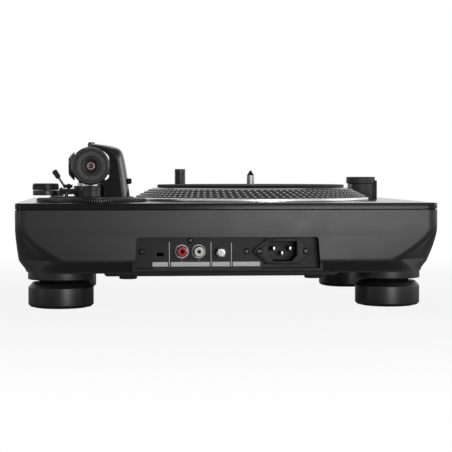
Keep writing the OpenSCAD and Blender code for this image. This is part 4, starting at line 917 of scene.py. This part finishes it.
def arch_mesh(look):
    """Band between the arch's outer and inner curve, with a sloping flank and a round end; its rear face
    wears painted shade, a matt dark copy of its glossy finish.
    """
    foot, top = low("arm_arch").z - PIVOT.z, high("arm_arch").z - PIVOT.z
    under = top - 4.6
    knee = (-27.6, 11.2)
    outer = [curve((-33.8, foot), (-31.8, -11), (-30.6, 2), knee, i / 16) for i in range(16)]
    outer += [curve(knee, (-25.4, 17.6), (-18, top - 2.4), (0, top), i / 20) for i in range(21)]
    inner = rounded([(-10.2, foot), (-10.2, -13.4), (-15.5, -10.2, 3), (-15.5, 9, 6),
                     (-10.7, under - 2.3, 5), (-4.6, under), (0, under)], False)
    sections = 44
    front, back, edge = PIVOT.y - 5, PIVOT.y + 17, 0.6
    rings = []
    for a, b in zip(resampled(outer, sections), resampled(inner, sections)):
        thick, into = (b - a).length, (b - a).normalized()
        flank = min(look.arch_round, thick * 0.55)
        section = [(0, front), (thick - edge, front), (thick, front + edge), (thick, back - edge),
                   (thick - edge, back), (flank + 0.3, back)]
        section += [curve((flank, back), (flank * 0.54, back - flank * 0.26),
                          (flank * 0.2, back - flank * 0.65), (0, back - flank * 1.5), k / 10)
                    for k in range(11)]
        rings.append([(PIVOT.x + a.x + into.x * d, y, PIVOT.z + a.y + into.y * d) for d, y in section])
    # rear face in the matt dark slope finish, the rest glossy: shaded and lit copies of one finish
    arch = wearing(lofted(rings), "arch_black", "slope_dark_and_painted_arch_shade", choose=lambda at, normal: normal.y > 0.9)
    end = lathe([(0, under), (3.4, under, 0.3), (3.4, top, 0.7), (0, top)], PIVOT, turns=48)
    return joined(arch, wearing(end, "arch_black"))


class RECORD_OT_arm_base(bpy.types.Operator):
    """Height ring, arm base, arch, gimbal ring and bearing cap"""
    bl_idname = "record.arm_base"
    bl_label = "Arm Base"

    def execute(self, context):
        look = context.scene.arm_look
        centre = ARM_AXIS
        z0, z1 = low("vta_ring").z, high("vta_ring").z
        ring = lathe([(37.8, z0), (47.9, z0, 0.2), (47.9, z1 - 0.7, 0.3), (47.2, z1, 0.4), (45.2, z1, 0.2),
                      (44.9, z1 - 0.35, 0.15), (44.4, z1 - 0.35, 0.15), (44.1, z1, 0.2), (37.8, z1, 0.3)],
                     centre, turns=192)
        # the ring's outer wall between the grip ribs is near-black painted shade
        wearing(ring, "ring_black", "painted_gap_shade",
                choose=lambda at, normal: reach(at, centre) > 47.5 and abs(normal.z) < 0.5)
        # the ribs wear a brighter copy of the ring's finish: painted sheen
        ribs = ringed(rib(0.75, 1.0, z1 - z0 - 0.7, 0.12), "rib_painted_sheen", centre, look.ring_ribs, 48.6, z0)
        ticks = ringed(bar(0.35, 3.0, 0.05), "print_pale", centre, 60, 43.6, z1)
        piece("height_ring_body", joined(ring, ribs, ticks), "vta_ring")
        # the arm base, with a small lug for the cue lever's pin on its shelf
        x, y, shelf = low("cue_lever").x + 3.4, CUE_Y, PLATE_HIGH.z + 11.4
        bearing = block((x - 2.7, y - 5, shelf + 0.01), (x + 2.7, y + 5, shelf + 6))
        mount = wearing(eased(carved(copy_of("arm_base"), bearing), 0.45), "arm_black", "collar_silver",
                        choose=lambda at, normal: at.z > PIVOT.z - 17.4 and reach(at, PIVOT) < 13)
        lug = lathe([(1.55, -1.6), (2.15, -1.6, 0.4), (2.15, 1.6, 0.4), (1.55, 1.6)], (x, y, CUE_Z), "X", 40)
        piece("arm_mount_body", joined(mount, wearing(lug, "arm_black")), "arm_base")
        piece("arch", arch_mesh(look), "arm_arch", bend=22)
        # upper pivot screw and clamp knob
        z = high("arch_screws").z
        screw = lathe([(0, z - 8), (1.75, z - 8), (1.75, z - 1.2), (2.9, z - 1.2), (2.9, z, 0.4), (0, z)],
                      centre, turns=40)
        slot = block((PIVOT.x - 4, PIVOT.y - 0.35, z - 0.6), (PIVOT.x + 4, PIVOT.y + 0.35, z + 1))
        knob_at = (low("arch_screws").x + 1.6, PIVOT.y + 6, PLATE_HIGH.z + 18.1)
        knob = lathe([(0, 0), (1.7, 0, 0.3), (2.4, 0.7, 0.4), (2.4, 3.4, 0.4), (1.5, 4.1), (1.5, 12),
                      (0, 12)], knob_at, "X", 40)
        grips = ringed(bar(0.35, 0.5, 2.4, 0.8), "screw_black", knob_at, 20, 2.55, axis="X")
        heads = joined(wearing(carved(screw, slot), "screw_black"), wearing(knob, "screw_black"), grips)
        piece("arch_screw_heads", heads, "arch_screws")
        dressed("gimbal_ring", 0.5)
        # bearing cap: a cone with notches for its tool
        root, notches, notch_r = low("gimbal_cap").x, 8, 7.9
        cap = lathe([(0, 0), (12.6, 0), (12.6, 0.4, 0.3), (11.2, 2.1, 1.0), (9.5, 3.6, 1.0), (7.5, 5.2, 0.5),
                     (5.6, 5.4, 0.3), (5.2, 4.9, 0.2), (0, 4.9)], (root, PIVOT.y, PIVOT.z), "X")
        for k in range(notches):
            a = TAU * k / notches
            spot = (root, PIVOT.y + notch_r * math.sin(a), PIVOT.z + notch_r * math.cos(a))
            cap = carved(cap, lathe([(0, 3.6), (1.25, 3.6), (1.25, 6.5), (0, 6.5)], spot, "X", 24))
        piece("bearing_cap", cap, "gimbal_cap")
        dressed("lifter_bar", 0.5)
        return {"FINISHED"}


class RECORD_OT_arm(bpy.types.Operator):
    """Arm tube, counterweight, headshell, cartridge and stylus"""
    bl_idname = "record.arm"
    bl_label = "Arm"

    def execute(self, context):
        on_axis = (PIVOT.x, 0, PIVOT.z)
        dressed("arm_tube", 0.35)
        a, b = low("counterweight").y, high("counterweight").y
        weight = lathe([(4.45, a), (14.6, a, 0.6), (16.2, a + 1.6, 0.8), (16.2, a + 5.2, 0.2),
                        (15.85, a + 5.6, 0.15), (15.85, a + 6.0, 0.15), (16.2, a + 6.4, 0.2),
                        (16.2, b - 2.2, 1.6), (14.8, b, 0.6), (13.7, b, 0.3), (13.45, b - 1.6, 0.1),
                        (12.85, b - 1.6, 0.1), (12.6, b - 0.15, 0.3), (8.3, b - 0.3, 0.3),
                        (7.9, b - 2.4, 0.1), (7.3, b - 2.4, 0.1), (7.1, b - 1.0, 0.25), (6.1, b - 1.3, 0.3),
                        (5.7, b - 4.4, 0.3), (4.45, b - 4.8)], on_axis, "Y", 128)
        piece("balance_weight", weight, "counterweight", bend=34)
        a, b = low("rear_shaft").y, high("rear_shaft").y
        outline = [(0, a), (4.4, a, 0.3)]
        y = b - 26
        while y < b - 2.5:
            outline += [(4.4, y), (4.1, y + 0.35), (4.1, y + 0.65), (4.4, y + 1.0)]
            y += 1.5
        outline += [(4.4, b - 0.9), (3.5, b, 0.3), (1.9, b, 0.2), (1.2, b - 0.8, 0.2), (1.2, b - 6),
                    (0, b - 6)]
        piece("weight_shaft", lathe(outline, on_axis, "Y", 64, steps=3), "rear_shaft")
        a, b = low("weight_dial").y, high("weight_dial").y
        dial = lathe([(4.45, a), (12.2, a, 0.4), (13, a + 0.7, 0.3), (13, b, 0.4), (4.45, b)], on_axis, "Y")
        spot = (PIVOT.x, a, PIVOT.z)
        lines = [ringed(bar(0.28, 0.08, length, 0.9), "print_pale", spot, count, 13.04, axis="Y")
                 for length, count in ((1.3, 30), (2.2, 6))]
        piece("force_dial", joined(wearing(dial, "dial_black"), *lines), "weight_dial")
        a, b = low("headshell_collar").y, high("headshell_collar").y
        collar = lathe([(4.98, a), (5.9, a, 0.3), (6.0, a + 1.0, 0.3), (6.0, b - 1.0, 0.3), (5.6, b, 0.3),
                        (4.98, b)], on_axis, "Y", 64)
        knurl = ringed(rib(0.42, 0.6, b - a - 2.6, 0.08, 1.3), "tube_silver", (PIVOT.x, a, PIVOT.z), 44, 6.28,
                       axis="Y")
        piece("lock_collar", joined(wearing(collar, "tube_silver"), knurl), "headshell_collar")
        dressed("headshell", 0.5)
        dressed("cartridge", 0.9)
        dressed("stylus", 0.3, 2)
        return {"FINISHED"}


class RECORD_OT_arm_controls(bpy.types.Operator):
    """Anti-skate dial, cue lever and arm rest"""
    bl_idname = "record.arm_controls"
    bl_label = "Arm Controls"

    def execute(self, context):
        centre = floor_under("anti_skate_dial")
        z0, z1, seat = low("anti_skate_dial").z, high("anti_skate_dial").z, PLATE_HIGH.z + 10
        dial = lathe([(0, z0), (2, z0), (2, seat + 0.3), (10.9, seat + 0.3, 0.3), (11.1, seat + 0.8),
                      (11.1, z1 - 1.5, 0.3), (11.3, z1 - 1.2, 0.2), (11.3, z1 - 0.7, 0.3), (10.4, z1, 0.4),
                      (9.3, z1, 0.2), (9.0, z1 - 0.3, 0.15), (0, z1 - 0.3)], centre)
        ribs = ringed(rib(0.55, 0.8, z1 - seat - 2.1, 0.1), "knob_black", centre,
                      context.scene.arm_look.dial_ribs, 11.6, seat + 0.5)
        ticks = ringed(bar(0.3, 1.4, 0.05), "print_pale", centre, 24, 8.6, z1 - 0.3)
        piece("skating_dial", joined(wearing(dial, "knob_black"), ribs, ticks), "anti_skate_dial")
        # cue lever: its pin, and a leaning rod with a grip
        pin = lathe([(0, 0), (1.5, 0, 0.2), (1.5, 6.3), (1.8, 6.4, 0.1), (1.8, 8.4, 0.3), (0, 8.4)],
                    (low("cue_lever").x, CUE_Y, CUE_Z), "X", 32)
        rod = lathe([(0, -0.4), (0.95, -0.4), (0.95, 9.2), (0, 9.2)], turns=32)
        grip = lathe([(0, 8.6), (1.5, 8.6, 0.4), (2.3, 9.6, 0.5), (2.5, 15.8, 0.5), (1.7, 16.9, 0.4),
                      (0, 16.9)], turns=40)
        grip = carved(grip, block((-3, 1.8, 10.2), (3, 4, 15.6)))
        rod = joined(wearing(rod, "lever_steel"), wearing(grip, "lever_black"))
        rod.transform(Matrix.Translation(Vector((PIVOT.x + 24.5, CUE_Y, CUE_Z)) * MM)
                      @ Matrix.Rotation(math.radians(33), 4, "Y"))
        piece("cue_arm", joined(wearing(pin, "lever_black"), rod), "cue_lever")
        dressed("arm_rest", 0.5)
        dressed("rest_clip", 0.5)
        return {"FINISHED"}


# ---------------------------------------------------------------- deck controls

# thickness of a printed coat
PRINT = 0.05


def lettering(text, size, place):
    """Flat generic figures on the deck, read from the front."""
    data = bpy.data.curves.new("figures", "FONT")
    data.body, data.size, data.extrude = text, size * MM, 0.02 * MM
    data.align_x, data.align_y = "CENTER", "CENTER"
    mesh = taken(on_bench(data))
    mesh.transform(Matrix.Translation(Vector(place) * MM))
    return mesh


def printed(name, shapes):
    """Printed marks as one piece of the chassis."""
    whole = joined(*(wearing(shape, "print_pale") for shape in shapes))
    piece(name, whole, slot="plastic_white", body="chassis")


class RECORD_OT_deck(bpy.types.Operator):
    """Start and speed buttons, pitch fader, strobe tower and target light"""
    bl_idname = "record.deck"
    bl_label = "Deck Controls"

    def execute(self, context):
        deck = PLATE_HIGH.z
        for button in ("start_button", "button_33", "button_45"):
            a, b = low(button), high(button)
            outline = [(a.x, a.y, 1.0), (b.x, a.y, 1.0), (b.x, b.y, 1.0), (a.x, b.y, 1.0)]
            piece(button + "_cap", eased(slab(outline, a.z, b.z), 0.35), button)
        dressed("pitch_fader", 0.5)
        # the tower, and a dark disc in the seam between it and its window: painted shade
        seam = high("strobe_window").z
        gap = lathe([(0, seam - 0.5), (12.6, seam - 0.5), (12.6, seam + 0.22), (0, seam + 0.22)],
                    floor_under("power_dial"), turns=64)
        tower = wearing(eased(copy_of("strobe_tower"), 0.4), "tower_black")
        piece("tower_body", joined(tower, wearing(gap, "painted_gap_shade")), "strobe_tower")
        dressed("strobe_window", 0.3, 2)
        dressed("power_dial", 0.7)
        z0, z1 = low("target_light").z, high("target_light").z
        stem = lathe([(0, z0), (5.5, z0), (5.5, z1 - 6.4, 0.1), (5.25, z1 - 6.2, 0.1), (5.25, z1 - 5.6, 0.1),
                      (5.5, z1 - 5.4, 0.1), (5.5, z1, 0.7), (0, z1)], floor_under("target_light"), turns=64)
        piece("needle_light", stem, "target_light")
        # pale scale beside the fader, and the speed figures
        slot, pitch, half = middle("pitch_fader"), 2.5, 0.16
        marks = []
        for k in range(-12, 13):
            length = 5.0 if k % 6 == 0 else (3.4 if k % 3 == 0 else 2.2)
            for side in (-1, 1):
                x0 = slot.x + side * 8.5
                x1 = x0 + side * length
                y = slot.y + k * pitch
                marks.append(block((min(x0, x1), y - half, deck), (max(x0, x1), y + half, deck + PRINT)))
        for button in ("button_33", "button_45"):
            spot = (middle(button).x, high(button).y + 4.0, deck + 0.02)
            marks.append(lettering(button[-2:], 4.2, spot))
        printed("deck_print", marks)
        return {"FINISHED"}


# ---------------------------------------------------------------- connectors

class RECORD_OT_connectors(bpy.types.Operator):
    """Connector panel with sockets, mains inlet, earth terminal and screws"""
    bl_idname = "record.connectors"
    bl_label = "Connectors"

    def execute(self, context):
        face = PANEL_FACE
        dressed("mains_inlet", 0.45)
        dressed("inlet_pins", 0.4)
        port = wearing(eased(copy_of("service_port"), 0.2, 2), "ring_black")
        piece("service_port_skin", port, "service_port")
        # audio sockets, with the printed ring and tick of each
        shells, coat = [], []
        tip = high("rca_shells").y
        for socket in ("rca_red", "rca_white"):
            x, z = middle(socket).x, middle(socket).z
            back, front = low(socket).y, high(socket).y
            shell = lathe([(3.72, face), (4.85, face), (4.85, face + 1.0, 0.25), (4.15, face + 1.2, 0.1),
                           (4.15, tip - 1.0, 0.1), (3.95, tip - 0.8, 0.1), (3.72, tip - 0.8)],
                          (x, 0, z), "Y", 72)
            shells.append(wearing(shell, "shell_chrome", "panel_black",
                                  choose=lambda at, normal: at.y < face + 1.25))
            core = lathe([(0, back), (3.68, back), (3.68, tip - 0.75), (3.85, tip - 0.75, 0.05),
                          (3.85, tip - 0.1, 0.2), (3.5, tip, 0.2), (2.3, tip, 0.25), (1.75, tip - 0.5, 0.2),
                          (1.6, tip - 1.2), (1.6, back + 2), (0, back + 2)], (x, 0, z), "Y", 64)
            # a dark sleeve deep in the hole: painted shade inside the socket
            sleeve = lathe([(1.25, back + 2.1), (1.57, back + 2.1), (1.57, front - 5.5),
                            (1.25, front - 5.5)], (x, 0, z), "Y", 32)
            core = joined(wearing(core, SLOT_OF[socket]), wearing(sleeve, "tip_dark_and_hole_shade"))
            piece(socket + "_core", core, socket)
            coat.append(lathe([(4.95, face), (5.8, face), (5.8, face + 0.12), (4.95, face + 0.12)],
                              (x, 0, z), "Y", 72))
            coat.append(block((x - 0.12, face, z - 8.4), (x + 0.12, face + PRINT, z - 6.6)))
        piece("socket_shells", joined(*shells), "rca_shells")
        # dividers and bare label bars, a coat thick
        for x in (50.1, 14.6, -2.8):
            coat.append(block((x - 0.28, face, 35.6), (x + 0.28, face + PRINT, 56.7)))
        for x0, x1 in ((51.3, 64.4), (15.9, 48.7), (-1.6, 13.5), (-27.4, -4.0)):
            coat.append(block((x0, face, 36.1), (x1, face + PRINT, 39.9)))
        printed("panel_print", coat)
        # earth terminal: knurled nut with a slotted end
        x, z = middle("ground_screw").x, middle("ground_screw").z
        a, b = low("ground_screw").y, high("ground_screw").y
        nut = lathe([(0, a), (1.5, a, 0.2), (1.5, face + 0.3), (2.8, face + 0.3, 0.2),
                     (2.8, face + 2.3, 0.2), (3.9, face + 2.5, 0.3), (3.9, b - 0.4, 0.3), (3.3, b, 0.3),
                     (0, b)], (x, 0, z), "Y", 64)
        slot = block((-6, b - 1.2, -0.5), (6, b + 1, 0.5))
        slot.transform(Matrix.Translation(Vector((x, 0, z)) * MM)
                       @ Matrix.Rotation(math.radians(-52), 4, "Y"))
        knurl = ringed(rib(0.36, 0.5, b - face - 3.6, 0.08), "nut_steel", (x, face + 2.9, z), 36, 4.15,
                       axis="Y")
        piece("earth_nut", joined(wearing(carved(nut, slot), "nut_steel"), knurl), "ground_screw")
        # every visible screw head: on the panel and inlet, and under the bottom cover
        panel = [(73.7, face, BASE + 13.9), (32.3, face, BASE + 23.2), (-15.8, face, BASE + 13.8)]
        panel += [(middle("mains_inlet").x + s * 20, face + 3, BASE + 14) for s in (-1, 1)]
        a, b = low("bottom_cover"), high("bottom_cover")
        under = [(x, y, a.z) for x in (low("case_screws").x + 2.6, high("case_screws").x - 2.6)
                 for y in (a.y + 8, -40, 44, b.y - 22)]
        heads = [spotted(screw_head(1.25), "screw_black", panel, (0, 1, 0)),
                 spotted(screw_head(0.9), "screw_black", under, (0, 0, -1))]
        piece("screw_heads", joined(*heads), "case_screws")
        return {"FINISHED"}


# ---------------------------------------------------------------- stage

# (bearing in degrees, brightness): softboxes and dark gaps on the connectors' side, white on the other
ROOM = ((-140, 1.0), (-90, 0.8), (-87, 0.04), (-73, 0.04), (-68, 1.15), (-20, 1.1), (-15, 0.04), (3, 0.04),
        (8, 0.7), (50, 0.7), (60, 0.05), (84, 0.05), (100, 0.5), (130, 1.0))


def room_level(tree, direction, fade):
    """Brightness of the room by bearing, times a fade: what mirrored and transmitted rays see.

    Camera rays see plain white."""
    split = new_node(tree, "ShaderNodeSeparateXYZ", {0: direction})
    bearing = reckoned(tree, "ARCTAN2", split.outputs["X"], split.outputs["Y"])
    ramp = new_node(tree, "ShaderNodeValToRGB", {"Fac": ranged(tree, bearing, (-math.pi, math.pi))})
    stops = ramp.color_ramp.elements
    while len(stops) < len(ROOM):
        stops.new(0.5)
    for stop, (angle, level) in zip(stops, ROOM):
        stop.position = 0.5 + angle / 360
        stop.color = (level, level, level, 1)
    path = new_node(tree, "ShaderNodeLightPath").outputs
    shine = reckoned(tree, "MAXIMUM", path["Is Glossy Ray"], path["Is Transmission Ray"])
    room = reckoned(tree, "MULTIPLY", ramp.outputs["Color"], fade)
    return reckoned(tree, "MAXIMUM", path["Is Camera Ray"], reckoned(tree, "MULTIPLY", shine, room))


def stage_finish(floor_colour):
    """Pale floor that takes a shadow near the object and runs into the white round it."""
    mat = bpy.data.materials.new("pale_floor")
    tree = cleared(mat)
    place = new_node(tree, "ShaderNodeTexCoord").outputs["Object"]
    far = new_node(tree, "ShaderNodeVectorMath", {0: place}, operation="LENGTH").outputs["Value"]
    mirrored = ranged(tree, far, (0.6, 1.3), (0.04, 1.0), "SMOOTHSTEP")
    seen = ranged(tree, far, (0.25, 0.75), (0.89, 1.0), "SMOOTHSTEP")
    share = reckoned(tree, "MULTIPLY", room_level(tree, place, mirrored), seen)
    matt = new_node(tree, "ShaderNodeBsdfDiffuse", {"Color": (*floor_colour, 1)})
    glow = new_node(tree, "ShaderNodeEmission", {"Color": (1, 1, 1, 1)})
    mix = new_node(tree, "ShaderNodeMixShader", {0: share, 1: matt.outputs[0], 2: glow.outputs[0]})
    new_node(tree, "ShaderNodeOutputMaterial", {"Surface": mix.outputs[0]})
    return mat


def surroundings(ambient):
    """World that is white to the camera and dims towards the ceiling for mirrored rays."""
    world = bpy.data.worlds.new("white_round")
    tree = cleared(world)
    place = new_node(tree, "ShaderNodeTexCoord").outputs["Generated"]
    up = new_node(tree, "ShaderNodeSeparateXYZ", {0: place}).outputs["Z"]
    ceiling = ranged(tree, up, (0.3, 0.65), (1.0, 0.3), "SMOOTHSTEP")
    level = reckoned(tree, "MAXIMUM", room_level(tree, place, ceiling), ambient)
    back = new_node(tree, "ShaderNodeBackground", {"Color": (1, 1, 1, 1), "Strength": level})
    new_node(tree, "ShaderNodeOutputWorld", {"Surface": back.outputs[0]})
    return world


def soft_lamp(name, place, target, width, height, power):
    """Rectangular soft lamp aimed at a point, in metres."""
    data = bpy.data.lights.new(name, "AREA")
    data.shape, data.size, data.size_y, data.energy = "RECTANGLE", width, height, power
    lamp = bpy.data.objects.new(name, data)
    lamp.location = place
    lamp.rotation_euler = (Vector(target) - Vector(place)).to_track_quat("-Z", "Y").to_euler()
    bpy.context.scene.collection.objects.link(lamp)


class RECORD_OT_stage(bpy.types.Operator):
    """Floor, soft lamps, white surroundings and the camera"""
    bl_idname = "record.stage"
    bl_label = "Stage"

    def execute(self, context):
        scene = context.scene
        look = scene.stage_look
        floor = bpy.data.meshes.new("floor")
        half = 12.0
        floor.from_pydata([(sx * half, sy * half, 0) for sx, sy in ((-1, -1), (1, -1), (1, 1), (-1, 1))],
                          [], [(0, 1, 2, 3)])
        floor.materials.append(stage_finish(look.floor_colour))
        ground = bpy.data.objects.new("floor", floor)
        scene.collection.objects.link(ground)
        scene.world = surroundings(look.ambient)
        chassis, deck = (0, 0, 0.06), (0, 0, 0.1)
        soft_lamp("key", (-0.26, 1.14, 0.09), chassis, 0.4, 0.16, look.key_power)
        soft_lamp("fill", (1.0, 0.42, 0.16), chassis, 0.16, 0.3, look.fill_power)
        soft_lamp("side", (-1.15, 0.0, 0.3), chassis, 0.8, 0.4, look.side_power)
        soft_lamp("overhead", (0.0, -0.8, 1.3), deck, 1.2, 1.0, look.top_power)
        data = bpy.data.cameras.new("view")
        data.lens, data.sensor_width, data.clip_start = look.lens, 36.0, 0.02
        camera = bpy.data.objects.new("view", data)
        # behind the connectors, just over the deck and on the arm's side of the middle
        camera.location = (0.0999, 1.361, 0.1153)
        side, down = math.radians(4.584), math.radians(2.094)
        aim = Vector((-math.sin(side) * math.cos(down), -math.cos(side) * math.cos(down), -math.sin(down)))
        camera.rotation_euler = aim.to_track_quat("-Z", "Y").to_euler()
        scene.collection.objects.link(camera)
        scene.camera = camera
        scene.view_settings.view_transform = "Standard"
        return {"FINISHED"}


# ---------------------------------------------------------------- add-on

STEPS = (RECORD_OT_chassis, RECORD_OT_feet, RECORD_OT_platter, RECORD_OT_arm_base, RECORD_OT_arm,
         RECORD_OT_arm_controls, RECORD_OT_deck, RECORD_OT_connectors, RECORD_OT_stage)
LOOKS = (("chassis_look", ChassisLook), ("platter_look", PlatterLook), ("arm_look", ArmLook),
         ("stage_look", StageLook))


class RECORD_PT_pieces(bpy.types.Panel):
    """Pieces of the record player"""
    bl_idname = "RECORD_PT_pieces"
    bl_label = "Record Player"
    bl_space_type = "VIEW_3D"
    bl_region_type = "UI"
    bl_category = "Record Player"

    def draw(self, context):
        for step in STEPS:
            self.layout.operator(step.bl_idname)
        for label, group in LOOKS:
            look = getattr(context.scene, label)
            for key in group.__annotations__:
                self.layout.prop(look, key)


def register():
    for label, group in LOOKS:
        bpy.utils.register_class(group)
        setattr(bpy.types.Scene, label, bpy.props.PointerProperty(type=group))
    for step in STEPS + (RECORD_PT_pieces,):
        bpy.utils.register_class(step)


def unregister():
    for step in reversed(STEPS + (RECORD_PT_pieces,)):
        bpy.utils.unregister_class(step)
    for label, group in reversed(LOOKS):
        delattr(bpy.types.Scene, label)
        bpy.utils.unregister_class(group)


def main():
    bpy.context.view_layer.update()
    register()
    make_finishes(bpy.context.scene)
    for step in STEPS:
        group, name = step.bl_idname.split(".")
        getattr(getattr(bpy.ops, group), name)()


if __name__ == "__main__":
    main()
